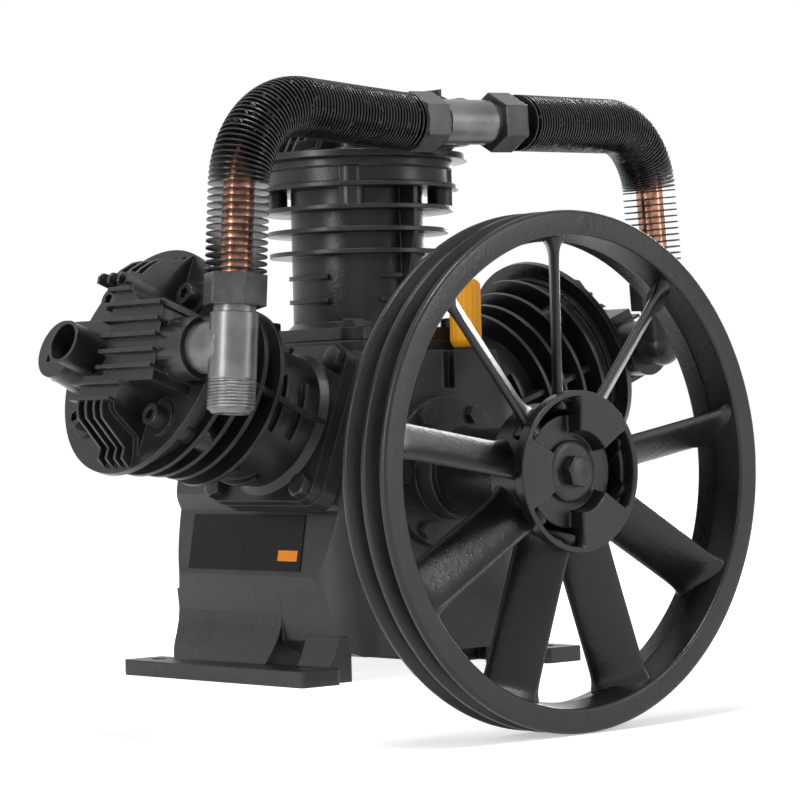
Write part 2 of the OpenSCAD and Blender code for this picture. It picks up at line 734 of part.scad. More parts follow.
module cylinder_block(side) {
    color("#2a2a2d") bank(side) difference() {
        barrel();
        translate([0, 0, seat_s - spigot_l - over]) cylinder(r = bore_r, h = deck_s - seat_s + spigot_l + 2 * over);
        translate([0, 0, seat_s]) at_corners(seat_bolt_at) cylinder(r = seat_bolt_r + bolt_gap, h = 3 * flange_t);
        translate([0, 0, deck_s - head_thread]) at_corners(head_bolt_at)
            cylinder(r = head_bolt_r + fit, h = head_thread + over);
    }
}

module cylinder_left() { cylinder_block(-1); }
module cylinder_middle() { cylinder_block(0); }
module cylinder_right() { cylinder_block(1); }

module seat_gaskets() {
    color("#3a3a36") for (side = [-1, 0, 1]) bank(side) translate([0, 0, seat_s]) linear_extrude(seat_gasket_t)
        difference() {
            rounded(seat_size - 2 * gasket_edge, seat_size - 2 * gasket_edge, seat_round);
            circle(r = spigot_r + slip);
            at_corners(seat_bolt_at) circle(r = seat_bolt_r + bolt_gap);
        }
}

seat_bolt_flats = 17;
seat_bolt_head = 7;

module cylinder_bolts() {
    color("#3c3c40") for (side = [-1, 0, 1]) bank(side) translate([0, 0, barrel_base_s + flange_t])
        at_corners(seat_bolt_at) hex_bolt(seat_bolt_r, seat_bolt_flats, seat_bolt_head,
            flange_t + seat_gasket_t + seat_thread - over);
}

// HEADS AND VALVES
// On each barrel: a gasket, a valve plate with two reeds, a gasket, and a cast head. The head's
// finned ridge stands over the delivery chamber and slopes down to one side; the inlet stub and a
// wide intake chamber stand beside it, and a pocket round each of the four bolts is left free.
head_gasket_t = 1;
valve_plate_t = 5;
valve_plate_r = 75;
plate_s = deck_s + head_gasket_t;
head_s = plate_s + valve_plate_t + head_gasket_t;
head_plate_r = 87;
head_plate_t = 5;
pocket_r = 17;
bolt_pad_r = 13;
bolt_pad_h = 2;
head_bolt_seat = head_plate_t + bolt_pad_h;
head_bolt_head_r = 8;
head_bolt_head_h = 10;
head_bolt_socket_r = 4.6;
crown_h = 56;             // height of the ridge's highest fin above the head's foot
ridge_from = -70;         // the ridge, from the delivery side to the inlet side
ridge_to = -10;
low_ridge_to = 16;        // its lower end is wider
// Outline of the ridge's wall and of its fins: along the ridge in shares of the plate's radius,
// upwards in shares of the highest fin
wall_shares = [[-0.9, 0], [-0.84, 0.1], [-0.7, 0.16], [-0.58, 0.6], [-0.54, 0.66], [0.5, 0.9],
    [0.56, 0.62], [0.66, 0.5], [0.74, 0.3], [0.84, 0.12], [0.9, 0]];
rib_shares = [[-0.95, 0], [-0.95, 0.1], [-0.9, 0.24], [-0.81, 0.25], [-0.65, 0.7], [-0.57, 0.76], [0.46, 0.99],
    [0.53, 1], [0.57, 0.96], [0.59, 0.78], [0.67, 0.7], [0.77, 0.56], [0.81, 0.46], [0.87, 0.2], [0.93, 0.1],
    [0.93, 0]];
low_end_share = -0.28;    // where the wider part of the ridge ends
ridge_fin_count = 8;
ridge_fin_pitch = 11.3;
ridge_fin_t = 2.6;
ridge_centre = -3.5;
end_fin_t = 2.4;
low_end_fins_y = [7, -3, -13, -22];      // fins that run down the low end
high_end_fins_y = [6, -6, -18, -29];     // fins that run down the high end
port_face = 97.5;         // the delivery boss's face from the cylinder's axis
port_boss_r = 22.5;
port_r = 13;
port_thread = 16;
neck_rib_count = 4;       // ribs on the neck of the delivery boss
neck_rib_pitch = 9;
neck_rib_low = 4;        // their edge below the top of the boss
chamber_w = 30;
chamber_h = 24;
chamber_from = 6;         // wall between the two chambers
chamber_to = 60;
roof_t = 6;               // casting over the inlet chamber
roof_wall = 8;
inlet_at_x = -5;          // the inlet stub stands on the far side of the ridge
inlet_at_y = 22;
inlet_r = 16.3;
inlet_bore_r = 13.8;
inlet_top = 60;           // top of the stub above the head's foot
intake_r = 22;            // the wide intake chamber beside the stub
intake_foot_r = 27;
intake_at_x = -6;
intake_at_y = 42;
intake_top = 51;
intake_cone_h = 40;
intake_slot_w = 5;        // slots in the top of the intake chamber
intake_slot_l = 20;
intake_slot_h = 6;
valve_hole_r = 4.5;
valve_hole_at = 16;
reed_w = 14;
reed_l = 36;
reed_t = 0.5;
port_z = 22;              // delivery port above the head's foot
port_s = head_s + port_z;

module ridge_outline(shares) {
    polygon([for (p = shares) [p[0] * head_plate_r, p[1] * crown_h]]);
}

module head_pockets() {
    linear_extrude(crown_h + 2 * over) {
        at_corners(head_bolt_at) circle(r = pocket_r);
        for (x = [0, 1], y = [0, 1]) mirror([x, 0]) mirror([0, y]) {
            translate([head_bolt_at - pocket_r, head_bolt_at]) square(head_plate_r);
            translate([head_bolt_at, head_bolt_at - pocket_r]) square(head_plate_r);
        }
    }
}

module ridge() {
    along_y(ridge_from, ridge_to) ridge_outline(wall_shares);
    intersection() {
        along_y(ridge_from, low_ridge_to) ridge_outline(wall_shares);
        translate([-head_plate_r, ridge_from, 0])
            cube([head_plate_r * (1 + low_end_share), head_plate_r - ridge_from, crown_h]);
    }
    intersection() {
        union() {
            for (i = [0 : ridge_fin_count - 1]) {
                x = ridge_centre + (i - (ridge_fin_count - 1) / 2) * ridge_fin_pitch;
                translate([x - ridge_fin_t / 2, ridge_from - ridge_fin_t, over])
                    cube([ridge_fin_t, (x > low_end_share * head_plate_r ? ridge_to : low_ridge_to)
                        - ridge_from + 2 * ridge_fin_t, crown_h]);
            }
            for (y = low_end_fins_y) translate([-head_plate_r, y - end_fin_t / 2, over])
                cube([head_plate_r / 2, end_fin_t, crown_h]);
            for (y = high_end_fins_y) translate([head_plate_r / 2 - end_fin_t, y - end_fin_t / 2, over])
                cube([head_plate_r / 2, end_fin_t, crown_h]);
        }
        along_y(-head_plate_r, head_plate_r) ridge_outline(rib_shares);
    }
}

module head_casting() {
    cylinder(r = head_plate_r, h = head_plate_t);
    at_corners(head_bolt_at) cylinder(r = bolt_pad_r, h = head_bolt_seat);
    intersection() {
        cylinder(r = head_plate_r - over, h = crown_h + over);
        difference() {
            union() {
                ridge();
                translate([-chamber_w / 2 - roof_wall, ridge_to - over, over])
                    cube([chamber_w + 2 * roof_wall, chamber_to + roof_wall - ridge_to, chamber_h + roof_t]);
            }
            translate([0, 0, head_plate_t - over]) head_pockets();
        }
    }
    translate([0, -port_face, port_z]) rotate([-90, 0, 0]) cylinder(r = port_boss_r, h = port_face - pocket_r);
    for (i = [0 : neck_rib_count - 1])
        translate([(i - (neck_rib_count - 1) / 2) * neck_rib_pitch - ridge_fin_t / 2, 2 * head_bolt_seat - port_face, 0])
            cube([ridge_fin_t, port_face - chamber_to, port_z + port_boss_r - neck_rib_low]);
    translate([inlet_at_x, inlet_at_y, head_plate_t]) cylinder(r = inlet_r, h = inlet_top - head_plate_t);
    intersection() {
        translate([intake_at_x, intake_at_y, head_plate_t - over]) {
            cylinder(r1 = intake_foot_r, r2 = intake_r, h = intake_cone_h);
            cylinder(r = intake_r, h = intake_top - head_plate_t);
        }
        cylinder(r = head_plate_r - over, h = intake_top);
    }
}

module head_block(side) {
    color("#232327") bank(side) translate([0, 0, head_s]) difference() {
        intersection() {
            head_casting();
            translate([-head_plate_r, -port_face, 0]) cube([2 * head_plate_r, port_face + head_plate_r, inlet_top]);
        }
        for (d = [-1, 1]) translate([-chamber_w / 2, d > 0 ? chamber_from : -chamber_to, -over])
            cube([chamber_w, chamber_to - chamber_from, chamber_h + over]);
        translate([0, -port_face - over, port_z]) rotate([-90, 0, 0])
            cylinder(r = port_r + fit, h = port_face - chamber_to + port_thread);
        translate([inlet_at_x, inlet_at_y, chamber_h - over]) cylinder(r = inlet_bore_r, h = inlet_top);
        for (d = [-1, 1]) translate([intake_at_x - intake_slot_l / 2, intake_at_y + (d - 0.5) * 2 * intake_slot_w,
            intake_top - intake_slot_h]) cube([intake_slot_l, intake_slot_w, intake_slot_h + over]);
        translate([0, 0, -over]) at_corners(head_bolt_at) cylinder(r = head_bolt_r + bolt_gap, h = crown_h);
        translate([0, 0, head_bolt_seat]) at_corners(head_bolt_at)
            cylinder(r = head_bolt_head_r + bolt_gap, h = head_bolt_head_h + over);
    }
}

module head_left() { head_block(-1); }
module head_middle() { head_block(0); }
module head_right() { head_block(1); }

module valve_plates() {
    color("#8c8e92") for (side = [-1, 0, 1]) bank(side) translate([0, 0, plate_s]) difference() {
        cylinder(r = valve_plate_r, h = valve_plate_t);
        translate([0, 0, -over]) {
            at_corners(head_bolt_at) cylinder(r = head_bolt_r + bolt_gap, h = valve_plate_t + 2 * over);
            for (d = [-1, 1], k = [-1, 1]) translate([k * valve_hole_at / 2, d * valve_hole_at, 0])
                cylinder(r = valve_hole_r, h = valve_plate_t + 2 * over);
        }
    }
}

// The suction reed lies under the plate, the delivery reed on top of it
module valve_reeds() {
    color("#c4c6c9") for (side = [-1, 0, 1]) bank(side) {
        translate([-reed_l / 2, valve_hole_at - reed_w / 2, plate_s - reed_t]) cube([reed_l, reed_w, reed_t]);
        translate([-chamber_w / 2 + slip, -valve_hole_at - reed_w / 2, plate_s + valve_plate_t])
            cube([chamber_w - 2 * slip, reed_w, reed_t]);
    }
}

module head_gaskets() {
    color("#55524a") for (side = [-1, 0, 1]) bank(side) {
        translate([0, 0, deck_s]) linear_extrude(head_gasket_t) difference() {
            circle(r = top_flange_r);
            circle(r = bore_r + over);
            at_corners(head_bolt_at) circle(r = head_bolt_r + bolt_gap);
        }
        translate([0, 0, head_s - head_gasket_t]) linear_extrude(head_gasket_t) difference() {
            circle(r = valve_plate_r - over);
            at_corners(head_bolt_at) circle(r = head_bolt_r + bolt_gap);
            for (d = [-1, 1]) translate([-chamber_w / 2, d > 0 ? chamber_from : -chamber_to])
                square([chamber_w, chamber_to - chamber_from]);
        }
    }
}

module head_bolts() {
    color("#3c3c40") for (side = [-1, 0, 1]) bank(side) translate([0, 0, head_s + head_bolt_seat])
        at_corners(head_bolt_at) difference() {
            union() {
                cylinder(r = head_bolt_head_r, h = head_bolt_head_h);
                translate([0, 0, deck_s - head_thread + over - head_s - head_bolt_seat])
                    cylinder(r = head_bolt_r, h = head_s + head_bolt_seat - deck_s + head_thread);
            }
            translate([0, 0, head_bolt_head_h / 2]) cylinder(r = head_bolt_socket_r, h = head_bolt_head_h, $fn = 6);
        }
}

// PISTONS, RINGS, PINS AND RODS
// All three rods share the crankpin, which stands at the top: the middle piston is at top dead
// centre and the side pistons are on their way.
piston_skirt = 26;
piston_r = bore_r - 2 * fit;
piston_wall = 6.5;
crown_t = 8;
wrist_r = 10;
wrist_bore_r = 6;
wrist_l = 76;
wrist_boss_r = 16;
rod_small_w = 24;
rod_small_r = 15.5;
rod_big_r = 24;
rod_shank_w = 16;
rod_shank_t = 12;
rod_eye_sink = 4;         // the shank reaches this far into both eyes
ring_widths_shares = [1, 1, 2];   // of the compression ring's height
ring_h = 2;
ring_depth = 3.6;
ring_pitch = 6;
ring_first = 6;           // first groove below the crown

function wrist_s(side) = let (lean = abs(side) * bank_angle)
    crank_radius * cos(lean) + sqrt(rod_length * rod_length - pow(crank_radius * sin(lean), 2));

function ring_z(i) = piston_crown - ring_first - i * ring_pitch;

module piston(side) {
    color("#c9cbd0") bank(side) translate([0, 0, wrist_s(side)]) difference() {
        translate([0, 0, -piston_skirt]) cylinder(r = piston_r, h = piston_skirt + piston_crown);
        difference() {
            translate([0, 0, -piston_skirt - over])
                cylinder(r = piston_r - piston_wall, h = piston_skirt + piston_crown - crown_t + over);
            for (d = [0, 1]) mirror([0, d, 0]) translate([0, rod_small_w / 2 + over, 0])
                rotate([-90, 0, 0]) cylinder(r = wrist_boss_r, h = piston_r);
        }
        translate([0, -piston_r - over, 0]) rotate([-90, 0, 0]) cylinder(r = wrist_r + fit, h = 2 * (piston_r + over));
        for (i = [0 : len(ring_widths_shares) - 1])
            translate([0, 0, ring_z(i) - ring_h * ring_widths_shares[i] / 2]) difference() {
                cylinder(r = piston_r + over, h = ring_h * ring_widths_shares[i]);
                translate([0, 0, -over]) cylinder(r = piston_r - ring_depth, h = 3 * ring_h + 2 * over);
            }
    }
}

module piston_left() { piston(-1); }
module piston_middle() { piston(0); }
module piston_right() { piston(1); }

module piston_rings() {
    color("#6c6e72") for (side = [-1, 0, 1]) bank(side) translate([0, 0, wrist_s(side)])
        for (i = [0 : len(ring_widths_shares) - 1])
            translate([0, 0, ring_z(i) - ring_h * ring_widths_shares[i] / 2 + fit])
                tube(bore_r - fit, piston_r - ring_depth + 2 * fit, ring_h * ring_widths_shares[i] - 2 * fit);
}

module wrist_pins() {
    color("#a4a6aa") for (side = [-1, 0, 1]) bank(side) translate([0, -wrist_l / 2, wrist_s(side)])
        rotate([-90, 0, 0]) tube(wrist_r, wrist_bore_r, wrist_l);
}

module rod(side) {
    lean = side * bank_angle;
    from = [0, crank_radius];
    to = wrist_s(side) * [sin(lean), cos(lean)];
    swing = atan2(to[0] - from[0], to[1] - from[1]);
    color("#8e9095") translate([0, middle_y + side * cylinder_step, crank_z + crank_radius])
        rotate([0, swing, 0]) difference() {
            union() {
                rotate([90, 0, 0]) cylinder(r = rod_big_r, h = rod_w, center = true);
                translate([0, 0, rod_length]) rotate([90, 0, 0]) cylinder(r = rod_small_r, h = rod_small_w, center = true);
                translate([-rod_shank_w / 2, -rod_shank_t / 2, rod_big_r - rod_eye_sink])
                    cube([rod_shank_w, rod_shank_t, rod_length - rod_big_r - rod_small_r + 2 * rod_eye_sink]);
            }
            rotate([90, 0, 0]) cylinder(r = pin_r + fit, h = rod_w + 2 * over, center = true);
            translate([0, 0, rod_length]) rotate([90, 0, 0])
                cylinder(r = wrist_r + fit, h = rod_small_w + 2 * over, center = true);
        }
}

module rod_left() { rod(-1); }
module rod_middle() { rod(0); }
module rod_right() { rod(1); }

// DELIVERY FITTINGS
// A tee on the left head with the outlet pointing down, a tee on the middle head, and an elbow on
// the right head. The top tee is screwed in with its right end a little up, and the pipes that
// leave it lean inwards as they come down.
body_r = 17;              // outside of the fittings
branch_r = 18.4;
way_r = 9.5;              // way through the fittings
left_half = 23;           // from a tee's centre to the foot of its threaded collar
top_half = 24;
elbow_rise = 26;
collar_h = 16;            // threaded collar that a union nut screws on
thread_collar_r = 15;
outlet_l = 24;            // male thread of the outlet
outlet_r = 16.5;
outlet_chamfer = 3;
left_out = 31.5;          // centre of each fitting in front of its delivery face
top_out = 25.5;
right_out = 15;
elbow_r = 14;
elbow_bulge = 1;
spigot_thread_l = 14;
tee_tilt = 2.2;
left_lean = 7.4;
right_lean = 3.1;
port_side_x = port_s * side_sin;
port_side_z = crank_z + port_s * side_cos;
left_tee_at = [-port_side_x, middle_y - cylinder_step - port_face - left_out, port_side_z];
top_tee_at = [0, middle_y - port_face - top_out, crank_z + port_s];
elbow_at = [port_side_x, middle_y + cylinder_step - port_face - right_out, port_side_z];

// PIPES
// Each pipe leaves the top tee level, turns towards its own head, bends down and ends in the
// collar of its side fitting. The left pipe rises a little first.
pipe_r = pipe_d / 2;
inner_pipe_r = pipe_r - pipe_wall;
nut_h = 22;
nut_seat = 11;            // how far a nut screws over the collar
nut_slack = 0.7;          // round the pipe, which starts to bend inside its nut
nut_r = nut_flats / 2 / cos(30);
top_collar_x = top_half + collar_h;
end_l = 4;
plan_r = 70;              // the first bend of each pipe, seen from above
ease_r = 120;             // the left pipe's gentle rise
ease_from = 4;            // straight length before it
seam = 0.02;
tongue_l = 1.2;
left_rise_angle = 4.2;
left_bend_r = 64;
right_bend_r = 55;

// A side fitting's centre in the frame of the top tee, where the pipe leaves along +X
function from_tee(side) = let (d = (side > 0 ? elbow_at : left_tee_at) - top_tee_at)
    [side * (d[0] * cos(tee_tilt) + d[2] * sin(tee_tilt)), side * d[1],
        d[2] * cos(tee_tilt) - d[0] * sin(tee_tilt)];
function lean(side) = side > 0 ? right_lean : left_lean;
function bend_r(side) = side > 0 ? right_bend_r : left_bend_r;
function rise(side) = side > 0 ? 0 : left_rise_angle;
function collar_end(side) = (side > 0 ? elbow_rise : left_half) + collar_h;
function plan_dx(side) = from_tee(side)[0] - top_collar_x - end_l;
function plan_dy(side) = from_tee(side)[1] - plan_r;
function plan_turn(side) = atan2(plan_dy(side), plan_dx(side))
    + asin(plan_r / norm([plan_dx(side), plan_dy(side)]));
function span(side) = sqrt(pow(plan_dx(side), 2) + pow(plan_dy(side), 2) - plan_r * plan_r);
// What the level run and the leg have to cover between them, across and upwards
function to_cover(side) = [
    span(side) - ease_from - ease_r * sin(rise(side)) - bend_r(side) * (sin(rise(side)) + cos(lean(side))),
    from_tee(side)[2] - ease_r * (1 - cos(rise(side))) + bend_r(side) * (cos(rise(side)) - sin(lean(side)))];
function run_l(side) = (to_cover(side)[0] * cos(lean(side)) + to_cover(side)[1] * sin(lean(side)))
    / cos(rise(side) - lean(side));
function leg_l(side) = (to_cover(side)[0] * sin(rise(side)) - to_cover(side)[1] * cos(rise(side)))
    / cos(rise(side) - lean(side)) - collar_end(side);
function bend_turn(side) = 90 + rise(side) - lean(side);

// The frame of the top tee, turned so that +X leads to the left or the right pipe
module tee_frame(side) {
    translate(top_tee_at) rotate([0, -tee_tilt, 0]) rotate(side > 0 ? 0 : 180) children();
}

// The upright plane of a pipe, from the end of its first bend
module pipe_plane(side) {
    tee_frame(side) translate([top_collar_x + end_l + plan_r * sin(plan_turn(side)),
        plan_r * (1 - cos(plan_turn(side))), 0]) rotate(plan_turn(side)) children();
}

// The frame of a side fitting: +Z runs up its leg
module leg_frame(side) {
    pipe_plane(side) translate([span(side), 0, from_tee(side)[2]]) rotate([0, -lean(side), 0]) children();
}

// The frame at the start of the level run: +Z runs along it, away from the tee
module run_frame(side) {
    pipe_plane(side) translate([ease_from + ease_r * sin(rise(side)), 0, ease_r * (1 - cos(rise(side)))])
        rotate([0, 90 - rise(side), 0]) children();
}

// A screwed collar that points to +Z
module collar(start) {
    translate([0, 0, start - over]) cylinder(r = thread_collar_r, h = collar_h + over);
}

// The branch of a fitting, to +Y, with its thread inside the port
module branch(r, length) {
    rotate([-90, 0, 0]) cylinder(r = r, h = length);
    rotate([-90, 0, 0]) cylinder(r = port_r, h = length + spigot_thread_l);
}

module branch_way(length) {
    rotate([-90, 0, 0]) cylinder(r = way_r, h = length + spigot_thread_l + over);
}

module left_tee() {
    color("#77787d") difference() {
        union() {
            leg_frame(-1) {
                translate([0, 0, -left_half]) cylinder(r = body_r, h = 2 * left_half);
                collar(left_half);
                translate([0, 0, -left_half - outlet_l + outlet_chamfer]) cylinder(r = outlet_r, h = outlet_l);
                translate([0, 0, -left_half - outlet_l])
                    cylinder(r1 = outlet_r - outlet_chamfer, r2 = outlet_r, h = outlet_chamfer);
            }
            translate(left_tee_at) branch(branch_r, left_out);
        }
        leg_frame(-1) translate([0, 0, -left_half - outlet_l - over])
            cylinder(r = way_r, h = 2 * left_half + outlet_l + collar_h + 2 * over);
        translate(left_tee_at) branch_way(left_out);
    }
}

module top_tee() {
    color("#8a8b90") difference() {
        union() {
            for (side = [-1, 1]) tee_frame(side) rotate([0, 90, 0]) {
                cylinder(r = body_r, h = top_half);
                collar(top_half);
            }
            translate(top_tee_at) branch(branch_r, top_out);
        }
        tee_frame(1) rotate([0, 90, 0]) cylinder(r = way_r, h = 3 * top_half + 2 * collar_h, center = true);
        translate(top_tee_at) branch_way(top_out);
    }
}

module right_elbow() {
    color("#3a3b3e") difference() {
        union() {
            leg_frame(1) {
                sphere(r = elbow_r + elbow_bulge);
                cylinder(r = elbow_r, h = elbow_rise);
                collar(elbow_rise);
            }
            translate(elbow_at) branch(elbow_r, right_out);
        }
        leg_frame(1) {
            sphere(r = way_r + elbow_bulge);
            cylinder(r = way_r, h = elbow_rise + collar_h + over);
        }
        translate(elbow_at) branch_way(right_out);
    }
}

// An arc of pipe that starts at the origin heading +Z and turns to +X
module bend(r, turn, outer_r, inner_r) {
    translate([r, 0, 0]) rotate([90, 0, 180]) rotate_extrude(angle = turn) translate([r, 0]) difference() {
        circle(r = outer_r);
        circle(r = inner_r);
    }
}

// A straight length of pipe. A tongue in the middle of its wall joins it to the bend at either end.
module straight(length, bend_below, bend_above) {
    tongue = pipe_wall / 3;
    low = bend_below ? seam : 0;
    high = bend_above ? seam : 0;
    translate([0, 0, low]) tube(pipe_r, inner_pipe_r, length - low - high);
    translate([0, 0, bend_below ? -tongue_l : tongue_l])
        tube(pipe_r - tongue, inner_pipe_r + tongue, length - (bend_below ? -tongue_l : tongue_l)
            + (bend_above ? tongue_l : -tongue_l));
}

module pipe(side) {
    tee_frame(side) translate([top_collar_x, 0, 0]) rotate([0, 90, 0]) straight(end_l, false, true);
    tee_frame(side) translate([top_collar_x + end_l, 0, 0]) rotate([90, 0, 90])
        bend(plan_r, plan_turn(side), pipe_r, inner_pipe_r);
    pipe_plane(side) rotate([0, 90, 0]) straight(ease_from, true, true);
    if (rise(side) > 0) pipe_plane(side) translate([ease_from, 0, 0]) rotate([180, -90, 0])
        bend(ease_r, rise(side), pipe_r, inner_pipe_r);
    run_frame(side) straight(run_l(side), rise(side) > 0, true);
    run_frame(side) translate([0, 0, run_l(side)]) bend(bend_r(side), bend_turn(side), pipe_r, inner_pipe_r);
    leg_frame(side) translate([0, 0, collar_end(side)]) straight(leg_l(side), false, true);
}

module pipe_left() { color("#b0643c") pipe(-1); }
module pipe_right() { color("#b0643c") pipe(1); }

module nut() {
    difference() {
        cylinder(r = nut_r, h = nut_h, $fn = 6);
        translate([0, 0, -over]) cylinder(r = pipe_r + nut_slack, h = nut_h + 2 * over);
        translate([0, 0, -over]) cylinder(r = thread_collar_r + fit, h = nut_seat + over + fit);
    }
}

module union_nuts() {
    color("#4a4a4e") for (side = [-1, 1]) {
        tee_frame(side) translate([top_collar_x - nut_seat, 0, 0]) rotate([0, 90, 0]) nut();
        leg_frame(side) translate([0, 0, collar_end(side) - nut_seat]) nut();
    }
}

// PIPE FINS
// Thin rings pressed on the pipes, wide apart on the upright legs and close on the bends and runs.
fin_r = pipe_fin_d / 2;
bare_l = 3;               // bare pipe next to a nut
leg_clear = nut_h - nut_seat + bare_l;

module pipe_fin() { translate([0, 0, -pipe_fin_t / 2]) tube(fin_r, pipe_r + fit, pipe_fin_t); }

module leg_fins(length) {
    count = floor((length - leg_clear) / loose_pitch);
    for (i = [0 : count - 1]) translate([0, 0, leg_clear + i * loose_pitch]) pipe_fin();
}

module bend_fins(r, turn, from) {
    count = floor(r * turn * PI / 180 / dense_pitch);
    for (i = [from : count]) translate([r, 0, 0]) rotate([0, i * turn / count, 0]) translate([-r, 0, 0]) pipe_fin();
}

module run_fins(length) {
    count = floor(length / dense_pitch);
    for (i = [1 : count - 1]) translate([0, 0, i * length / count]) pipe_fin();
}

module pipe_fins(side) {
    skipped = ceil((nut_h - nut_seat + bare_l - end_l) / dense_pitch);
    tee_frame(side) translate([top_collar_x + end_l, 0, 0]) rotate([90, 0, 90])
        bend_fins(plan_r, plan_turn(side), skipped);
    pipe_plane(side) rotate([0, 90, 0]) translate([0, 0, ease_from / 2]) pipe_fin();
    if (rise(side) > 0) pipe_plane(side) translate([ease_from, 0, 0]) rotate([180, -90, 0])
        bend_fins(ease_r, rise(side), 0);
    run_frame(side) run_fins(run_l(side));
    run_frame(side) translate([0, 0, run_l(side)]) bend_fins(bend_r(side), bend_turn(side), 0);
    leg_frame(side) translate([0, 0, collar_end(side)]) leg_fins(leg_l(side));
}

module pipe_fins_left() { color("#1b1b1d") pipe_fins(-1); }
module pipe_fins_right() { color("#1b1b1d") pipe_fins(1); }

crankcase();
rear_cover();
rear_cover_gasket();
rear_cover_bolts();
front_cover();
front_cover_gasket();
front_cover_bolts();
front_bearing();
rear_bearing();
shaft_seal();
sight_glass();
drain_plug();
oil_cap();
cap_seal();
label_plate();
crankshaft();
crank_throw();
flywheel();
flywheel_key();
flywheel_washer();
flywheel_bolt();
cylinder_left();
cylinder_middle();
cylinder_right();
seat_gaskets();
cylinder_bolts();
valve_plates();
valve_reeds();
head_gaskets();
head_left();
head_middle();
head_right();
head_bolts();
piston_left();
piston_middle();
piston_right();
piston_rings();
wrist_pins();
rod_left();
rod_middle();
rod_right();
left_tee();
top_tee();
right_elbow();
union_nuts();
pipe_left();
pipe_right();
pipe_fins_left();
pipe_fins_right();
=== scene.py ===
import math
import bpy
import numpy as np
from mathutils import Matrix, Vector


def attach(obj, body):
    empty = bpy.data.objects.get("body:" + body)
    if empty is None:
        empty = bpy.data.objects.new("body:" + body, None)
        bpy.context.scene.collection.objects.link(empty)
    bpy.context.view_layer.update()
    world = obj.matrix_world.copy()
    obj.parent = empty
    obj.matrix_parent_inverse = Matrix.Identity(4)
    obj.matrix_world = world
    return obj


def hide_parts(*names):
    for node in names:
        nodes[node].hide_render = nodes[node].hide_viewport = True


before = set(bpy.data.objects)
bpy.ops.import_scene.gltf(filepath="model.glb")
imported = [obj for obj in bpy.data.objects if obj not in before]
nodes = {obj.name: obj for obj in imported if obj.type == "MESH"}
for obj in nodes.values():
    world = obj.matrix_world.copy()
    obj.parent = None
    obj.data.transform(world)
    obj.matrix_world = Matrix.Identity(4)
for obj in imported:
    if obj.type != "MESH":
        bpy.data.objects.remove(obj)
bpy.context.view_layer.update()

# CAMERA
# The pump is seen from its front left, level with the cylinders' feet, from about 2.4 m.
camera_data = bpy.data.cameras.new("camera")
camera_data.lens = 135
camera_data.sensor_width = 36
camera = bpy.data.objects.new("camera", camera_data)
bpy.context.scene.collection.objects.link(camera)
camera.matrix_world = Matrix((
    (0.7500, 0.0151, -0.6613, -1.5349),
    (-0.6609, -0.0218, -0.7501, -1.8036),
    (-0.0258, 0.9996, -0.0063, 0.1949),
    (0, 0, 0, 1)))
bpy.context.scene.camera = camera
bpy.context.scene.view_settings.view_transform = "Standard"

# STUDIO
# A white world that the camera and polished metal see, four soft boxes, a white floor just under
# the flywheel and a white block under the feet.
WORLD_LIGHT = 0.30
AIM = Vector((0.0, -0.08, 0.18))
FLOOR_Z = -0.0368
FLOOR_HALF = 9.0
BLOCK_HALF = (0.17, 0.125)
BLOCK_TOP = -0.0002
PAPER_WHITE = 0.93
FLOOR_GLOW = (("From Min", 0.35), ("From Max", 1.3), ("To Min", 0.42), ("To Max", 1.0))
BLOCK_GLOW = 0.85
world = bpy.data.worlds.new("white_studio")
bpy.context.scene.world = world
world.use_nodes = True
wt = world.node_tree
wt.nodes.clear()
world_out = wt.nodes.new("ShaderNodeOutputWorld")
world_mix = wt.nodes.new("ShaderNodeMixShader")
world_light = wt.nodes.new("ShaderNodeBackground")
world_light.inputs["Color"].default_value = (1, 1, 1, 1)
world_light.inputs["Strength"].default_value = WORLD_LIGHT
world_seen = wt.nodes.new("ShaderNodeBackground")
world_seen.inputs["Color"].default_value = (1, 1, 1, 1)
world_seen.inputs["Strength"].default_value = 1
path = wt.nodes.new("ShaderNodeLightPath")
seen = wt.nodes.new("ShaderNodeMath")
seen.operation = "MAXIMUM"
seen_all = wt.nodes.new("ShaderNodeMath")
seen_all.operation = "MAXIMUM"
wt.links.new(path.outputs["Is Camera Ray"], seen.inputs[0])
wt.links.new(path.outputs["Is Glossy Ray"], seen.inputs[1])
wt.links.new(seen.outputs[0], seen_all.inputs[0])
wt.links.new(path.outputs["Is Transmission Ray"], seen_all.inputs[1])
wt.links.new(seen_all.outputs[0], world_mix.inputs[0])
wt.links.new(world_light.outputs[0], world_mix.inputs[1])
wt.links.new(world_seen.outputs[0], world_mix.inputs[2])
wt.links.new(world_mix.outputs[0], world_out.inputs["Surface"])


def soft_box(name, place, width, height, watts):
    """A rectangular lamp at place that faces the pump's middle."""
    data = bpy.data.lights.new(name, "AREA")
    data.shape = "RECTANGLE"
    data.size = width
    data.size_y = height
    data.energy = watts
    lamp = bpy.data.objects.new(name, data)
    lamp.location = place
    lamp.rotation_euler = (AIM - Vector(place)).to_track_quat("-Z", "Y").to_euler()
    bpy.context.scene.collection.objects.link(lamp)


soft_box("box_left", (-2.2, -0.2, 0.9), 0.30, 1.3, 26)
soft_box("box_front", (1.3, -2.2, 0.9), 0.35, 1.2, 14)
soft_box("box_top", (-0.5, -0.6, 2.0), 0.9, 0.4, 30)
soft_box("box_rear_right", (2.0, 1.0, 0.9), 0.35, 1.3, 18)

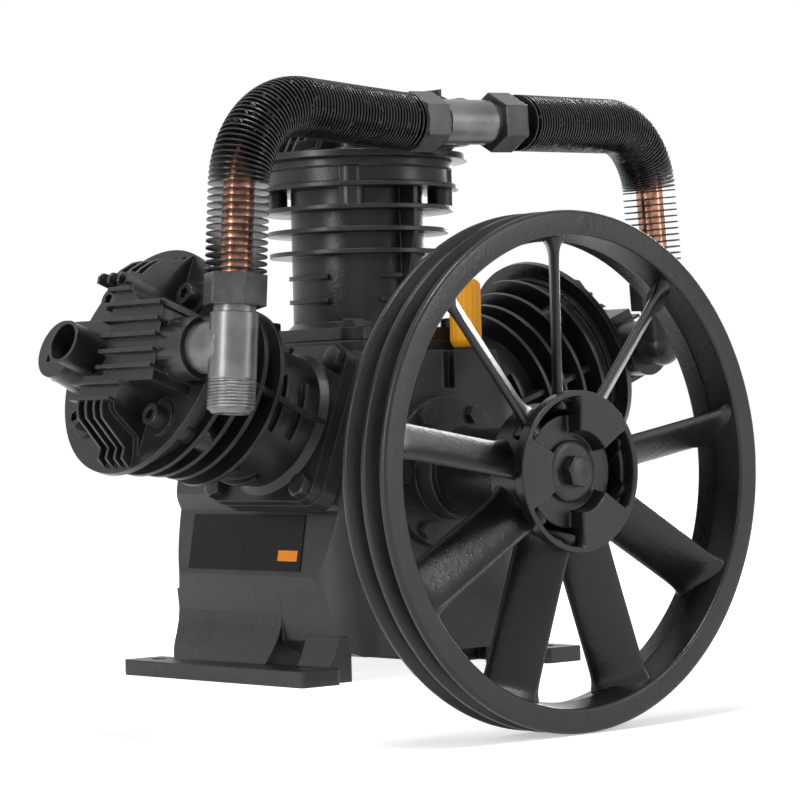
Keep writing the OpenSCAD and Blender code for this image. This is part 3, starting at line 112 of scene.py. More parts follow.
SQUARE = ((-1, -1), (1, -1), (1, 1), (-1, 1))
floor_mesh = bpy.data.meshes.new("studio_floor")
floor_mesh.from_pydata([(x * FLOOR_HALF, y * FLOOR_HALF, FLOOR_Z) for x, y in SQUARE], [], [(0, 1, 2, 3)])
floor = bpy.data.objects.new("studio_floor", floor_mesh)
bpy.context.scene.collection.objects.link(floor)
block_corners = [(x * BLOCK_HALF[0], y * BLOCK_HALF[1], z) for z in (FLOOR_Z, BLOCK_TOP) for x, y in SQUARE]
block_mesh = bpy.data.meshes.new("studio_block")
block_mesh.from_pydata(block_corners, [], [(3, 2, 1, 0), (4, 5, 6, 7), (0, 1, 5, 4), (1, 2, 6, 5),
                                           (2, 3, 7, 6), (3, 0, 4, 7)])
block = bpy.data.objects.new("studio_block", block_mesh)
bpy.context.scene.collection.objects.link(block)
paper = bpy.data.materials.new("studio_paper")
paper.use_nodes = True
paper_shader = paper.node_tree.nodes["Principled BSDF"]
paper_shader.inputs["Base Color"].default_value = (PAPER_WHITE, PAPER_WHITE, PAPER_WHITE, 1)
paper_shader.inputs["Roughness"].default_value = 0.9
paper_shader.inputs["Specular IOR Level"].default_value = 0.1
# The paper glows for the camera and for polished metal, less close to the pump than far from it
paper_path = paper.node_tree.nodes.new("ShaderNodeLightPath")
paper_seen = paper.node_tree.nodes.new("ShaderNodeMath")
paper_seen.operation = "MAXIMUM"
paper_glow = paper.node_tree.nodes.new("ShaderNodeMath")
paper_glow.operation = "MULTIPLY"
paper.node_tree.links.new(paper_path.outputs["Is Camera Ray"], paper_seen.inputs[0])
paper.node_tree.links.new(paper_path.outputs["Is Glossy Ray"], paper_seen.inputs[1])
paper.node_tree.links.new(paper_seen.outputs[0], paper_glow.inputs[0])
paper_where = paper.node_tree.nodes.new("ShaderNodeTexCoord")
paper_far = paper.node_tree.nodes.new("ShaderNodeVectorMath")
paper_far.operation = "LENGTH"
paper_fade = paper.node_tree.nodes.new("ShaderNodeMapRange")
paper_fade.interpolation_type = "SMOOTHSTEP"
for socket, value in FLOOR_GLOW:
    paper_fade.inputs[socket].default_value = value
paper.node_tree.links.new(paper_where.outputs["Object"], paper_far.inputs[0])
paper.node_tree.links.new(paper_far.outputs["Value"], paper_fade.inputs["Value"])
paper.node_tree.links.new(paper_fade.outputs["Result"], paper_glow.inputs[1])
paper_shader.inputs["Emission Color"].default_value = (1, 1, 1, 1)
paper.node_tree.links.new(paper_glow.outputs[0], paper_shader.inputs["Emission Strength"])
block_paint = paper.copy()
block_paint.name = "studio_block_paint"
for node in block_paint.node_tree.nodes:
    if node.bl_idname == "ShaderNodeMapRange":
        node.inputs["To Min"].default_value = BLOCK_GLOW
for obj, material in ((floor, paper), (block, block_paint)):
    obj.data.materials.append(material)


# CRANKCASE
# One sand casting in grey iron, sprayed satin black all over. The seats, the feet's undersides and
# the cover faces are machined before it is painted.
def make_group(name, inputs, outputs):
    """An empty shader node group with the named sockets."""
    tree = bpy.data.node_groups.new(name, "ShaderNodeTree")
    for label, kind, value in inputs:
        socket = tree.interface.new_socket(name=label, in_out="INPUT", socket_type=kind)
        if value is not None:
            socket.default_value = value
    for label, kind in outputs:
        tree.interface.new_socket(name=label, in_out="OUTPUT", socket_type=kind)
    return tree, tree.nodes.new("NodeGroupInput"), tree.nodes.new("NodeGroupOutput")


def math_node(tree, operation, *values, clamp=False):
    """A math node fed by links or plain numbers."""
    node = tree.nodes.new("ShaderNodeMath")
    node.operation = operation
    node.use_clamp = clamp
    for i, value in enumerate(values):
        if isinstance(value, (int, float)):
            node.inputs[i].default_value = value
        else:
            tree.links.new(value, node.inputs[i])
    return node.outputs[0]


def noise(tree, vector, scale, detail, roughness=0.55):
    """Noise over the object's own coordinates. The scale is in waves per metre."""
    node = tree.nodes.new("ShaderNodeTexNoise")
    tree.links.new(vector, node.inputs["Vector"])
    if isinstance(scale, (int, float)):
        node.inputs["Scale"].default_value = scale
    else:
        tree.links.new(scale, node.inputs["Scale"])
    node.inputs["Detail"].default_value = detail
    node.inputs["Roughness"].default_value = roughness
    return node.outputs["Fac"]


# The skin that a sand mould leaves: fine grains, shallow dimples and slow unevenness of the spray
skin, gi, go = make_group("sand_cast_skin", [
    ("Vector", "NodeSocketVector", None), ("Grain", "NodeSocketFloat", 900.0),
    ("Patch", "NodeSocketFloat", 22.0)],
    [("Height", "NodeSocketFloat"), ("Tone", "NodeSocketFloat"), ("Speck", "NodeSocketFloat")])
fine = noise(skin, gi.outputs["Vector"], gi.outputs["Grain"], 3, 0.6)
dimple = noise(skin, gi.outputs["Vector"], math_node(skin, "MULTIPLY", gi.outputs["Grain"], 0.22), 2)
slow = noise(skin, gi.outputs["Vector"], gi.outputs["Patch"], 3, 0.6)
height = math_node(skin, "ADD", math_node(skin, "MULTIPLY", fine, 0.55),
                   math_node(skin, "MULTIPLY", dimple, 0.8))
tone = math_node(skin, "MULTIPLY", math_node(skin, "SUBTRACT", slow, 0.3), 2.4, clamp=True)
speck = math_node(skin, "MULTIPLY", math_node(skin, "SUBTRACT", fine, 0.6), 5.0, clamp=True)
skin.links.new(height, go.inputs["Height"])
skin.links.new(tone, go.inputs["Tone"])
skin.links.new(speck, go.inputs["Speck"])

# Rounded edges, and a lighter colour along them: partly paint rubbed thin, partly a painted highlight that
# lies on every edge whatever the light
edges, gi, go = make_group("edge_wear_and_highlight", [
    ("Vector", "NodeSocketVector", None), ("Radius", "NodeSocketFloat", 0.001),
    ("Amount", "NodeSocketFloat", 0.5)],
    [("Wear_and_Highlight", "NodeSocketFloat"), ("Normal", "NodeSocketVector")])
bevel = edges.nodes.new("ShaderNodeBevel")
bevel.samples = 6
edges.links.new(gi.outputs["Radius"], bevel.inputs["Radius"])
geometry = edges.nodes.new("ShaderNodeNewGeometry")
dot = edges.nodes.new("ShaderNodeVectorMath")
dot.operation = "DOT_PRODUCT"
edges.links.new(bevel.outputs["Normal"], dot.inputs[0])
edges.links.new(geometry.outputs["Normal"], dot.inputs[1])
bent = math_node(edges, "SUBTRACT", 1.0, dot.outputs["Value"])
bend_seen = math_node(edges, "MULTIPLY", bent, 5.0, clamp=True)
uneven = math_node(edges, "SUBTRACT", noise(edges, gi.outputs["Vector"], 160.0, 3, 0.65), 0.42)
patchy = math_node(edges, "MULTIPLY", uneven, 4.0, clamp=True)
wear_and_highlight = math_node(edges, "MULTIPLY", math_node(edges, "MULTIPLY", bend_seen, patchy), gi.outputs["Amount"],
                 clamp=True)
edges.links.new(wear_and_highlight, go.inputs["Wear_and_Highlight"])
edges.links.new(bevel.outputs["Normal"], go.inputs["Normal"])


def coated(name, dark, light, bare_and_lit, rough, grain=900.0, patch=22.0, bump=0.25, depth=0.0004, round_r=0.0009,
           wear_and_highlight_amount=0.5, specular=0.34, metallic=0.0, rough_spread=0.14, coat=0.0):
    """A painted, plated or bare metal. Its colour drifts between dark and light, turns lighter along the
    edges, partly as rubbed paint and partly as a painted highlight, and its roughness and bump follow the
    same grain."""
    material = bpy.data.materials.new(name)
    material.use_nodes = True
    tree = material.node_tree
    shader = tree.nodes["Principled BSDF"]
    coords = tree.nodes.new("ShaderNodeTexCoord").outputs["Object"]
    grain_node = tree.nodes.new("ShaderNodeGroup")
    grain_node.node_tree = skin
    tree.links.new(coords, grain_node.inputs["Vector"])
    grain_node.inputs["Grain"].default_value = grain
    grain_node.inputs["Patch"].default_value = patch
    edge_node = tree.nodes.new("ShaderNodeGroup")
    edge_node.node_tree = edges
    tree.links.new(coords, edge_node.inputs["Vector"])
    edge_node.inputs["Radius"].default_value = round_r
    edge_node.inputs["Amount"].default_value = wear_and_highlight_amount
    drift = tree.nodes.new("ShaderNodeMix")
    drift.data_type = "RGBA"
    drift.inputs[6].default_value = (*dark, 1)
    drift.inputs[7].default_value = (*light, 1)
    tree.links.new(grain_node.outputs["Tone"], drift.inputs[0])
    # The edges take the lighter colour: paint rubbed thin, and a painted highlight on every edge
    rubbed_and_lit = tree.nodes.new("ShaderNodeMix")
    rubbed_and_lit.data_type = "RGBA"
    rubbed_and_lit.inputs[7].default_value = (*bare_and_lit, 1)
    tree.links.new(edge_node.outputs["Wear_and_Highlight"], rubbed_and_lit.inputs[0])
    tree.links.new(drift.outputs[2], rubbed_and_lit.inputs[6])
    tree.links.new(rubbed_and_lit.outputs[2], shader.inputs["Base Color"])
    spread = math_node(tree, "MULTIPLY_ADD", grain_node.outputs["Tone"], rough_spread,
                       rough - rough_spread / 2)
    matt = math_node(tree, "MULTIPLY_ADD", grain_node.outputs["Speck"], 0.12, spread)
    tree.links.new(math_node(tree, "MULTIPLY_ADD", edge_node.outputs["Wear_and_Highlight"], -0.1, matt, clamp=True),
                   shader.inputs["Roughness"])
    shader.inputs["Specular IOR Level"].default_value = specular
    shader.inputs["Metallic"].default_value = metallic
    shader.inputs["Coat Weight"].default_value = coat
    shader.inputs["Coat Roughness"].default_value = 0.25
    bump_node = tree.nodes.new("ShaderNodeBump")
    bump_node.inputs["Strength"].default_value = bump
    bump_node.inputs["Distance"].default_value = depth
    tree.links.new(grain_node.outputs["Height"], bump_node.inputs["Height"])
    tree.links.new(edge_node.outputs["Normal"], bump_node.inputs["Normal"])
    tree.links.new(bump_node.outputs["Normal"], shader.inputs["Normal"])
    return material


def dress(material, *names):
    """Gives carried-over CAD nodes their real finish."""
    for name in names:
        for slot in nodes[name].material_slots:
            slot.material = material


case_paint = coated("case_paint", (0.013, 0.0125, 0.013), (0.026, 0.025, 0.026), (0.10, 0.10, 0.10), 0.37,
                    grain=620, bump=0.45, depth=0.0008, round_r=0.0022, wear_and_highlight_amount=0.35)
dress(case_paint, "crankcase", "front_cover", "rear_cover")

# BARRELS
# Cast iron cylinders with coarse fins, painted with the crankcase. Their edges stay as cast.
barrel_paint = coated("barrel_paint", (0.008, 0.008, 0.0085), (0.018, 0.0175, 0.018),
                      (0.11, 0.11, 0.11), 0.33, grain=800, bump=0.4, depth=0.0006, round_r=0.0013,
                      wear_and_highlight_amount=0.4)
dress(barrel_paint, "cylinder_left", "cylinder_middle", "cylinder_right")

# HEADS
# Die-cast aluminium, shot blasted and sprayed semi-gloss black, finer in grain than the iron.
head_paint = coated("head_paint", (0.007, 0.007, 0.0075), (0.016, 0.0155, 0.016), (0.14, 0.14, 0.14), 0.29,
                    grain=1100, bump=0.3, depth=0.0004, round_r=0.0011, wear_and_highlight_amount=0.4)
dress(head_paint, "head_left", "head_middle", "head_right")


# FLYWHEEL RIM
# The rim of an iron casting, turned outside with two V grooves for the belts and painted with the
# rest. Its inside keeps the draft of the mould from both faces, with a crease half way.
WHEEL_Y = -259.4
AXIS_Z = 153.6
RIM_STEPS = 288
RIM_CORNERS = [(171.6, 0), (188.2, 0), (189.8, 1.7), (189.8, 5.1), (178.6, 10.35), (178.6, 16.35),
               (189.8, 20.9), (189.8, 24.8), (178.6, 29.35), (178.6, 35.35), (189.8, 40.6), (189.8, 44),
               (188.2, 45.6), (171.6, 45.6), (168.0, 23.6), (168.0, 22.1)]
RIM_ROUNDS = [2.4, 2.2, 1.2, 1.0, 1.2, 1.2, 1.0, 1.0, 1.2, 1.2, 1.0, 1.2, 2.2, 2.4, 0.6, 0.6]


def put_mesh(name, points, faces, smooth=True):
    """A new mesh object from an array of points and a list or array of faces."""
    mesh = bpy.data.meshes.new(name)
    mesh.from_pydata(np.asarray(points, float).tolist(), [], [tuple(int(i) for i in f) for f in faces])
    mesh.validate()
    mesh.update()
    mesh.polygons.foreach_set("use_smooth", np.full(len(mesh.polygons), smooth))
    obj = bpy.data.objects.new(name, mesh)
    bpy.context.scene.collection.objects.link(obj)
    return obj


def grid_faces(rows, columns, wrap_rows, wrap_columns):
    """Quads between neighbouring rows and columns of a grid, wrapped where the surface closes."""
    i = np.arange(rows if wrap_rows else rows - 1)
    j = np.arange(columns if wrap_columns else columns - 1)
    i, j = (a.ravel() for a in np.meshgrid(i, j, indexing="ij"))
    i1, j1 = (i + 1) % rows, (j + 1) % columns
    return np.stack([i * columns + j, i * columns + j1, i1 * columns + j1, i1 * columns + j], 1)


def rounded_profile(corners, radii, steps=5, closed=True):
    """A polyline whose corners are replaced by quadratic curves: each starts its radius before the
    corner and ends its radius behind it."""
    corners = np.asarray(corners, float)
    out = []
    t = np.linspace(0, 1, steps)[:, None]
    count = len(corners)
    for i, corner in enumerate(corners):
        r = radii[i] if isinstance(radii, (list, tuple)) else radii
        if not closed and i in (0, count - 1) or r <= 0:
            out.append(corner[None])
            continue
        before, after = corners[i - 1] - corner, corners[(i + 1) % count] - corner
        a = corner + before * min(r / np.linalg.norm(before), 0.49)
        b = corner + after * min(r / np.linalg.norm(after), 0.49)
        out.append((1 - t) ** 2 * a + 2 * t * (1 - t) * corner + t ** 2 * b)
    return np.concatenate(out)


def wheel_place(r, angle, depth):
    """Polar coordinates of the wheel in mm to metres in the frame: angle from +X towards -Z,
    depth behind the front plane."""
    return np.stack([r * np.cos(angle), depth + WHEEL_Y, AXIS_Z - r * np.sin(angle)], -1) / 1000


rim_profile = rounded_profile(RIM_CORNERS, RIM_ROUNDS, steps=6)
turn = np.linspace(0, 2 * np.pi, RIM_STEPS, endpoint=False)
rr, aa = np.meshgrid(rim_profile[:, 0], turn, indexing="ij")
dd = np.repeat(rim_profile[:, 1][:, None], RIM_STEPS, 1)
rim = put_mesh("wheel_rim", wheel_place(rr, aa, dd).reshape(-1, 3),
               grid_faces(len(rim_profile), RIM_STEPS, True, True))
wheel_paint = coated("wheel_paint", (0.006, 0.006, 0.0065), (0.013, 0.0128, 0.013), (0.10, 0.10, 0.10), 0.30,
                     grain=700, patch=14, bump=0.35, depth=0.0007, round_r=0.0012, wear_and_highlight_amount=0.35)


def finish_piece(obj, material, body, slot_name, *replaced):
    """Material and body of a finished new piece, and the CAD nodes it stands for. The slot name is not used.
    """
    obj.data.materials.append(material)
    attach(obj, body)
    if replaced:
        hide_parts(*replaced)


# FLYWHEEL HUB
# The same casting's hub: a flat disc with a turned recess, three arms that open into deeper
# pockets, and behind it the body that the blades grow from and the neck on the shaft.
HUB_STEPS = 360
ARM_STEP, ARM_HALF = 120, 31                            # degrees from arm to arm, and half an arm
RECESS_WALL = (28, 30.2)                                # radii where the walls begin and end
ARM_WALL = (52.8, 55)
POCKET_WALL = (41, 43.4)
SOFT_WALL = 1.1
RECESS_DEEP, POCKET_DEEP = 13, 11
FACE_SPANS = [(17.6, 27, 5), (27.6, 30.6, 9), (31.5, 40.4, 6), (40.8, 43.8, 8), (45, 52, 5), (52.6, 55.2, 8),
              (55.8, 57.6, 3)]                          # from radius, to radius, rings
NECK_CORNERS = [(57.6, 0), (59, 0), (59, 9), (50.2, 9), (50.2, 45.6), (33, 45.6), (33, 117.5), (17.6, 117.5),
                (17.6, 13)]
NECK_ROUNDS = [0, 1.3, 1.0, 2.5, 2.5, 3, 1.5, 0.5, 0]


def soft_step(x, edge0, edge1):
    """0 below edge0, 1 above edge1, and a smooth S between them."""
    t = np.clip((x - edge0) / (edge1 - edge0), 0, 1)
    return t * t * (3 - 2 * t)


def hub_depth(r, angle):
    """Depth of the hub's face: the recess, then the arms, then the pockets, each with soft walls."""
    off = np.abs((np.degrees(angle) + ARM_STEP / 2) % ARM_STEP - ARM_STEP / 2)
    wall = np.degrees(SOFT_WALL / np.maximum(r, 1))
    in_arm = 1 - soft_step(off, ARM_HALF - wall, ARM_HALF + wall)
    recess = 1 - soft_step(r, *RECESS_WALL)
    arm = in_arm * (1 - soft_step(r, *ARM_WALL))
    pocket = arm * soft_step(r, *POCKET_WALL)
    return RECESS_DEEP * np.maximum(recess, arm) + POCKET_DEEP * pocket


face_r = np.unique(np.concatenate([np.linspace(*span) for span in FACE_SPANS]))
neck = rounded_profile(NECK_CORNERS, NECK_ROUNDS, closed=False)[1:]
hub_r = np.concatenate([face_r, neck[:, 0]])
angle = np.linspace(0, 2 * np.pi, HUB_STEPS, endpoint=False)
rr, aa = np.meshgrid(hub_r, angle, indexing="ij")
dd = np.concatenate([hub_depth(*np.meshgrid(face_r, angle, indexing="ij")),
                     np.repeat(neck[:, 1][:, None], HUB_STEPS, 1)])
hub = put_mesh("wheel_hub", wheel_place(rr, aa, dd).reshape(-1, 3),
               grid_faces(len(hub_r), HUB_STEPS, True, True))

# FLYWHEEL BLADES
# Nine straight fan blades in the same casting, set at 48 degrees to the wheel's plane. They are
# thick in the middle, round on their edges, and run out into wide fillets on the hub and the rim.
BLADE_COUNT = 9
BLADE_PITCH = math.radians(48)
BLADE_ROOT, BLADE_TIP, FILLET_REACH = 49, 168, 4.5
HALF_CHORD, ROOT_WIDER, TIP_WIDER = 20.2, 2.6, 3.0
HALF_THICK, ROOT_THICKER, TIP_THICKER, FILLET_TOP = 3.5, 3.4, 3.6, 1.2
EDGE_ROUND, FACE_ROUND = 0.55, 0.8
WHEEL_WIDE = 45.7
along = np.concatenate([np.linspace(45, 60, 9), np.linspace(64, 150, 12), np.linspace(154, 170.5, 10)])
around = np.linspace(0, 2 * np.pi, 40, endpoint=False)
uu, ww = np.meshgrid(along, around, indexing="ij")
# The section is a rounded box, |cos| and |sin| raised to a power, that swells towards both ends
root = np.exp(-(uu - BLADE_ROOT) / FILLET_REACH)
tip = np.exp((uu - BLADE_TIP) / FILLET_REACH)
half_chord = HALF_CHORD + ROOT_WIDER * np.clip(root, 0, 1) + TIP_WIDER * np.clip(tip, 0, 1)
half_thick = (HALF_THICK + ROOT_THICKER * np.clip(root, 0, FILLET_TOP)
              + TIP_THICKER * np.clip(tip, 0, FILLET_TOP))
cu = np.sign(np.cos(ww)) * np.abs(np.cos(ww)) ** EDGE_ROUND * half_chord
cv = np.sign(np.sin(ww)) * np.abs(np.sin(ww)) ** FACE_ROUND * half_thick
tangent = cu * math.cos(BLADE_PITCH) - cv * math.sin(BLADE_PITCH)
depth = cu * math.sin(BLADE_PITCH) + cv * math.cos(BLADE_PITCH) + WHEEL_WIDE / 2
blade_points, blade_faces = [], []
one = grid_faces(len(along), len(around), False, True)[:, ::-1]
caps = [list(range(len(around)))[::-1],
        list(range((len(along) - 1) * len(around), len(along) * len(around)))]
for i in range(BLADE_COUNT):
    a = math.radians(-90 + i * 360 / BLADE_COUNT)
    x = uu * math.cos(a) - tangent * math.sin(a)
    z = uu * math.sin(a) + tangent * math.cos(a)
    start = i * uu.size
    blade_points.append(np.stack([x, depth + WHEEL_Y, AXIS_Z - z], -1).reshape(-1, 3) / 1000)
    blade_faces += (one + start).tolist() + [[k + start for k in cap] for cap in caps]
blades = put_mesh("wheel_blades", np.concatenate(blade_points), blade_faces)
for piece in (rim, hub, blades):
    finish_piece(piece, wheel_paint, "crank", "wheel_black", "flywheel")

# FLYWHEEL BOLT AND WASHER
# A dished steel washer with its hexagon bolt, black oxide, done up against the hub's recess.
WASHER_CORNERS = [(7.2, 13.0), (22.8, 13.0), (22.8, 9.6), (19.5, 8.2), (7.2, 8.0)]
WASHER_ROUNDS = [0.3, 0.5, 0.9, 1.5, 0.3]
BOLT_DEPTH = 8.0                                        # of the head's underside, behind the front plane
BOLT_HEAD = {"flats": 21, "height": 8.2, "face_r": 9.6, "dome": 0.8, "spin": 0.35}
CHAMFER = math.radians(30)
DOME_SHARES = (0.8, 0.5, 0.2, 0.02)
washer_profile = rounded_profile(WASHER_CORNERS, WASHER_ROUNDS)


def hex_head(flats, height, face_r, dome, steps=96):
    """Rings of a hexagon head from its underside up: a hexagon in plan, cut by a chamfer cone at the
    top, then a shallow dome. Returns radius and height over rings and angles."""
    a = np.linspace(0, 2 * np.pi, steps, endpoint=False)
    six = flats / 2 / np.cos((a + np.pi / 6) % (np.pi / 3) - np.pi / 6)
    levels = np.concatenate([[0, 0.3], np.linspace(0.5 * height, height, 12)])
    cone = face_r + (height - levels) / math.tan(CHAMFER)
    r = np.minimum(six[None], cone[:, None])
    z = np.repeat(levels[:, None], steps, 1)
    inner = np.array(DOME_SHARES)
    r = np.concatenate([r, inner[:, None] * r[-1][None]])
    z = np.concatenate([z, height + dome * (1 - inner[:, None] ** 2) * np.ones((1, steps))])
    return a, r, z


def hex_head_mesh(name, places, flats, height, face_r, dome, spin=0.0):
    """One mesh of hexagon heads: each place is (origin, axis u, axis v, outward axis) in mm."""
    a, r, z = hex_head(flats, height, face_r, dome)
    a = a + spin
    points, faces = [], []
    one = grid_faces(r.shape[0], r.shape[1], False, True)
    for i, (origin, u, v, w) in enumerate(places):
        p = (origin + (r * np.cos(a))[..., None] * u + (r * np.sin(a))[..., None] * v + z[..., None] * w)
        points.append(p.reshape(-1, 3) / 1000)
        start = i * r.size
        faces += (one + start).tolist()
        faces.append([start + (r.shape[0] - 1) * r.shape[1] + k for k in range(r.shape[1])])
        faces.append([start + k for k in range(r.shape[1])][::-1])
    return put_mesh(name, np.concatenate(points), faces)


blackened = coated("blackened_steel", (0.020, 0.020, 0.022), (0.045, 0.045, 0.047), (0.30, 0.30, 0.30),
                   0.36, grain=1600, patch=60, bump=0.12, depth=0.0002, round_r=0.0006, wear_and_highlight_amount=0.8,
                   metallic=0.5)
rr, aa = np.meshgrid(washer_profile[:, 0], turn, indexing="ij")
dd = np.repeat(washer_profile[:, 1][:, None], RIM_STEPS, 1)
washer = put_mesh("wheel_washer", wheel_place(rr, aa, dd).reshape(-1, 3),
                  grid_faces(len(washer_profile), RIM_STEPS, True, True)[:, ::-1])
finish_piece(washer, blackened, "crank", "steel", "flywheel_washer")
X, Y, Z = np.eye(3)
wheel_bolt = hex_head_mesh("wheel_bolt", [(np.array([0, WHEEL_Y + BOLT_DEPTH, AXIS_Z]), X, Z, -Y)],
                           **BOLT_HEAD)
finish_piece(wheel_bolt, blackened, "crank", "black_bolts", "flywheel_bolt")
# The parts inside: turned steel, grey iron rings and bare aluminium
steel = coated("turned_steel", (0.30, 0.30, 0.31), (0.42, 0.42, 0.43), (0.6, 0.6, 0.6), 0.30, grain=2200,
               patch=80, bump=0.08, depth=0.0002, round_r=0.0004, wear_and_highlight_amount=0.5, metallic=1.0)
dress(steel, "crankshaft", "flywheel_key", "front_bearing", "rear_bearing", "wrist_pins", "valve_reeds",
      "crank_throw")
dress(blackened, "valve_plates")
ring_iron = coated("ring_iron", (0.09, 0.09, 0.09), (0.15, 0.15, 0.15), (0.3, 0.3, 0.3), 0.4, grain=1800,
                   metallic=1.0)
dress(ring_iron, "piston_rings")
piston_metal = coated("piston_aluminium", (0.52, 0.53, 0.54), (0.64, 0.65, 0.66), (0.8, 0.8, 0.8), 0.38,
                      grain=1500, metallic=1.0)
dress(piston_metal, "piston_left", "piston_middle", "piston_right", "rod_left", "rod_middle", "rod_right")

# FLANGE, HEAD AND COVER BOLTS
# Blackened steel screws: hexagons round the cylinder flanges and covers, socket heads in the heads.
dress(blackened, "front_cover_bolts", "rear_cover_bolts", "head_bolts")
brass = coated("drain_brass", (0.36, 0.22, 0.07), (0.55, 0.36, 0.14), (0.75, 0.55, 0.28), 0.33, grain=1400,
               bump=0.1, depth=0.0002, round_r=0.0006, metallic=1.0)
dress(brass, "drain_plug")
SIDE_LEAN = math.radians(69)                            # of a side cylinder from the middle one
MIDDLE_Y, STEP_Y = -18, 22
FLANGE_S, FLANGE_BOLT_AT = 112.0, 50.6                  # from the crankshaft, and from the cylinder's axis
FLANGE_HEAD = {"flats": 17, "height": 7.0, "face_r": 7.6, "dome": 0.6, "spin": 0.4}
flange_places = []
for side in (-1, 0, 1):
    lean = side * SIDE_LEAN
    u = np.array([math.cos(lean), 0, -math.sin(lean)])
    w = np.array([math.sin(lean), 0, math.cos(lean)])
    origin = np.array([0, MIDDLE_Y + side * STEP_Y, AXIS_Z])
    for a in (-1, 1):
        for b in (-1, 1):
            flange_places.append((origin + w * FLANGE_S + u * a * FLANGE_BOLT_AT + Y * b * FLANGE_BOLT_AT,
                                  u, Y, w))
flange_bolts = hex_head_mesh("flange_bolts", flange_places, **FLANGE_HEAD)
finish_piece(flange_bolts, blackened, "pump", "black_bolts", "cylinder_bolts")

# DELIVERY FITTINGS AND UNION NUTS
# Forged steel tees and elbow. The tees' zinc plating has gone grey, the elbow is painted dark, and the union
# nuts are darker.
zinc = coated("grey_zinc", (0.11, 0.11, 0.115), (0.19, 0.19, 0.195), (0.42, 0.42, 0.42), 0.36, grain=700,
              patch=40, bump=0.3, depth=0.0004, round_r=0.0014, wear_and_highlight_amount=0.6, metallic=0.75)
dress(zinc, "left_tee", "top_tee")
# The outlet's pipe thread, cut on the lower end of the left tee: a helix of round-topped turns
OUTLET = np.array([-246.465, -169.0, 248.209])
outlet_down = np.array([-0.089437, -0.017513, -0.995838])
outlet_u = np.cross(outlet_down, Y)
outlet_u /= np.linalg.norm(outlet_u)
outlet_v = np.cross(outlet_down, outlet_u)
THREAD_PITCH, THREAD_DEEP, THREAD_FLOOR = 2.309, 0.6, 0.1
THREAD_FROM, THREAD_TO, RUN_OUT = 23.4, 44.4, 1.2       # along the outlet, from the tee's centre
THREAD_R, SUNK_R = 16.45, 16.2
a = np.linspace(0, 2 * np.pi, 72, endpoint=False)
s = np.linspace(THREAD_FROM, THREAD_TO, 110)
ss, aa = np.meshgrid(s, a, indexing="ij")
crest = np.abs(((ss / THREAD_PITCH - aa / (2 * np.pi)) % 1) * 2 - 1)
ends = (soft_step(ss, THREAD_FROM, THREAD_FROM + RUN_OUT)
        * (1 - soft_step(ss, THREAD_TO - RUN_OUT, THREAD_TO)))
r = THREAD_R + ends * (THREAD_FLOOR + THREAD_DEEP * soft_step(crest, 0.15, 0.85))
sunk = np.full((1, len(a)), SUNK_R)
r = np.concatenate([sunk, r, sunk])
ss = np.concatenate([ss[:1], ss, ss[-1:]])
aa = np.concatenate([aa[:1], aa, aa[-1:]])
thread_points = (OUTLET + (r * np.cos(aa))[..., None] * outlet_u + (r * np.sin(aa))[..., None] * outlet_v
                 + ss[..., None] * outlet_down).reshape(-1, 3) / 1000
# The turns are closed inside the tee's wall, where the two sunk rows meet
thread = put_mesh("outlet_thread", thread_points, grid_faces(len(ss), len(a), True, True))
finish_piece(thread, zinc, "pump", "zinc_fitting")
dark_nut = coated("dark_nut", (0.035, 0.035, 0.037), (0.07, 0.07, 0.072), (0.30, 0.30, 0.30), 0.32,
                  grain=900, patch=40, bump=0.2, depth=0.0003, round_r=0.0014, wear_and_highlight_amount=0.7, metallic=0.6)
dress(dark_nut, "union_nuts")
elbow_paint = coated("elbow_paint", (0.016, 0.016, 0.017), (0.032, 0.032, 0.033), (0.2, 0.2, 0.2), 0.36,
                     grain=700, bump=0.35, depth=0.0006, round_r=0.0014)
dress(elbow_paint, "right_elbow")

# COOLING PIPES
# Bent copper tube that has gone brown in places, under a row of thin pressed-on steel fins,
# lacquered black. The fins sit apart on the legs, so that the copper shows between them.
LACQUER = 0.00028
copper = coated("aged_copper", (0.10, 0.040, 0.026), (0.72, 0.36, 0.25), (0.85, 0.52, 0.38), 0.26, grain=500,
                patch=110, bump=0.15, depth=0.0003, round_r=0.0004, wear_and_highlight_amount=0.3, metallic=1.0,
                rough_spread=0.2)
dress(copper, "pipe_left", "pipe_right")
fin_lacquer = coated("fin_lacquer", (0.004, 0.004, 0.0045), (0.010, 0.010, 0.0105), (0.10, 0.09, 0.08),
                     0.30, grain=900, patch=60, bump=0.1, depth=0.0002, round_r=0.0004, wear_and_highlight_amount=0.4,
                     specular=0.30)
dress(fin_lacquer, "pipe_fins_left", "pipe_fins_right")
# The lacquer is thick on the thin steel: the fins' skin is moved out by a quarter of a millimetre
for name in ("pipe_fins_left", "pipe_fins_right"):
    weld = nodes[name].modifiers.new("joined", "WELD")
    weld.merge_threshold = 0.00001
    thick = nodes[name].modifiers.new("lacquer", "DISPLACE")
    thick.strength = LACQUER
    thick.mid_level = 0.0

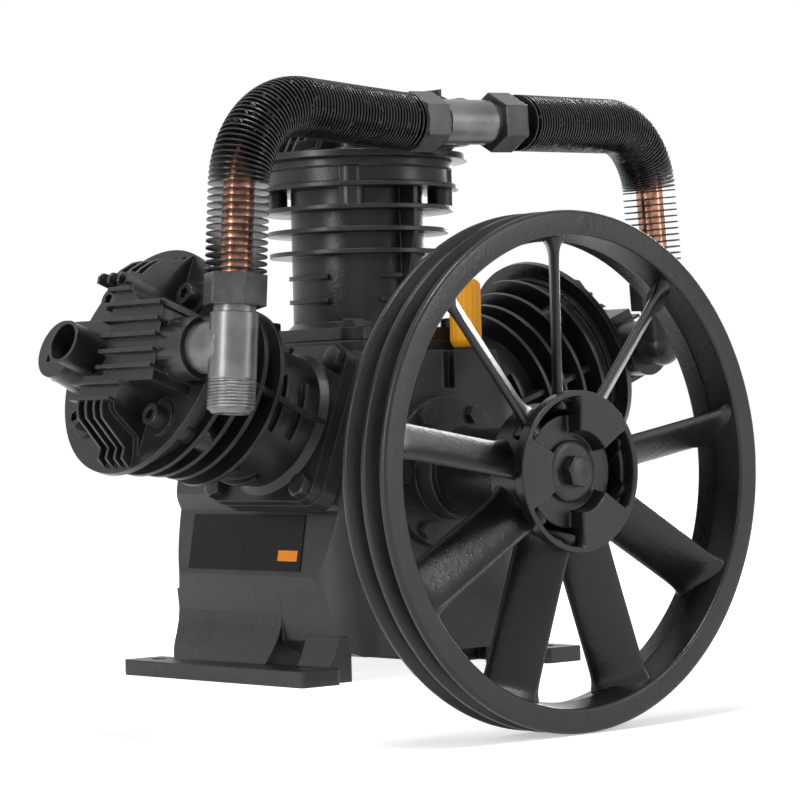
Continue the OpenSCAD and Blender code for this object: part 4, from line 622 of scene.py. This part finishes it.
# OIL FILLER CAP
# A tall moulded plastic cap in orange yellow with flutes for the fingers, on a rubber ring. Its
# stem reaches down into the filler boss.
CAP_AT = (43.0, -93.0, 249.0)
FLUTE_DEEP = 0.55
FLUTES = 18
FLUTE_ENDS = ((4, 8), (44, 49.5))                       # heights where a flute fades in and out
levels = np.array([-16.0, -16.0, -15.2, 0.0, 0.0, 0.3, 1.2, 3.0, 5.0, 7.0, 26.0, 45.0, 47.5, 49.2, 50.6, 51.7,
                   52.5, 52.9, 53.0, 53.0, 53.0])
body = np.array([0.05, 7.9, 8.7, 8.7, 9.3, 9.8, 10.4, 11.4, 12.1, 12.3, 12.3, 12.3, 12.25, 12.1, 11.7, 11.1,
                 10.3, 9.3, 8.4, 4.0, 0.05])
flute = soft_step(levels, *FLUTE_ENDS[0]) * (1 - soft_step(levels, *FLUTE_ENDS[1]))
a = np.linspace(0, 2 * np.pi, 216, endpoint=False)
groove = np.clip(np.cos(FLUTES * a), 0, 1) ** 1.5
r = body[:, None] - FLUTE_DEEP * flute[:, None] * groove[None]
cap_points = np.stack([CAP_AT[0] + r * np.cos(a), CAP_AT[1] + r * np.sin(a),
                       CAP_AT[2] + np.repeat(levels[:, None], len(a), 1)], -1).reshape(-1, 3) / 1000
cap = put_mesh("filler_cap", cap_points, grid_faces(len(levels), len(a), False, True).tolist()
               + [list(range(len(a)))[::-1], list(range((len(levels) - 1) * len(a), len(levels) * len(a)))])
cap_plastic = coated("cap_plastic", (0.90, 0.37, 0.012), (0.95, 0.42, 0.018), (0.97, 0.52, 0.08), 0.42,
                     grain=1500, patch=25, bump=0.06, depth=0.0002, round_r=0.0005, wear_and_highlight_amount=0.3)
finish_piece(cap, cap_plastic, "filler_cap", "cap_orange", "oil_cap")
rubber = coated("black_rubber", (0.008, 0.008, 0.008), (0.018, 0.018, 0.018), (0.03, 0.03, 0.03), 0.65,
                grain=1500)
dress(rubber, "cap_seal", "shaft_seal")
fibre = coated("gasket_fibre", (0.035, 0.035, 0.030), (0.07, 0.07, 0.06), (0.12, 0.12, 0.10), 0.8, grain=1800,
               bump=0.5, round_r=0.0002)
dress(fibre, "front_cover_gasket", "rear_cover_gasket", "seat_gaskets", "head_gaskets")

# LABEL PLATE
# A thin glossy black plate stuck to the left wall, plain but for one orange block that is printed
# near its lower front corner.
ORANGE_BLOCK = (("Y", -0.0530, -0.0300), ("Z", 0.0895, 0.0975))
label_black = coated("label_black", (0.0015, 0.0012, 0.0012), (0.003, 0.0025, 0.0025), (0.04, 0.04, 0.04),
                     0.30, grain=1500, bump=0.03, depth=0.0001, round_r=0.0003, wear_and_highlight_amount=0.2,
                     specular=0.16)
label_tree = label_black.node_tree
label_shader = label_tree.nodes["Principled BSDF"]
label_base = label_shader.inputs["Base Color"].links[0].from_socket
label_place = label_tree.nodes.new("ShaderNodeSeparateXYZ")
label_tree.links.new(label_tree.nodes.new("ShaderNodeTexCoord").outputs["Object"], label_place.inputs[0])
inside = None
for axis_name, low, high in ORANGE_BLOCK:
    for operation, limit in (("GREATER_THAN", low), ("LESS_THAN", high)):
        step = math_node(label_tree, operation, label_place.outputs[axis_name], limit)
        inside = step if inside is None else math_node(label_tree, "MULTIPLY", inside, step)
orange = label_tree.nodes.new("ShaderNodeMix")
orange.data_type = "RGBA"
orange.inputs[7].default_value = (0.90, 0.28, 0.02, 1)
label_tree.links.new(inside, orange.inputs[0])
label_tree.links.new(label_base, orange.inputs[6])
label_tree.links.new(orange.outputs[2], label_shader.inputs["Base Color"])
dress(label_black, "label_plate")

# SIGHT GLASS
# A thick disc of clear glass that is pressed into the rear cover, to show the level of the oil. The
# oil behind it gives it a pale green tint.
glass = coated("sight_glass", (0.50, 0.52, 0.42), (0.62, 0.64, 0.52), (0.8, 0.8, 0.7), 0.08, grain=300,
               bump=0.02, depth=0.0001, round_r=0.0004, wear_and_highlight_amount=0.0, rough_spread=0.04, coat=0.5)
dress(glass, "sight_glass")
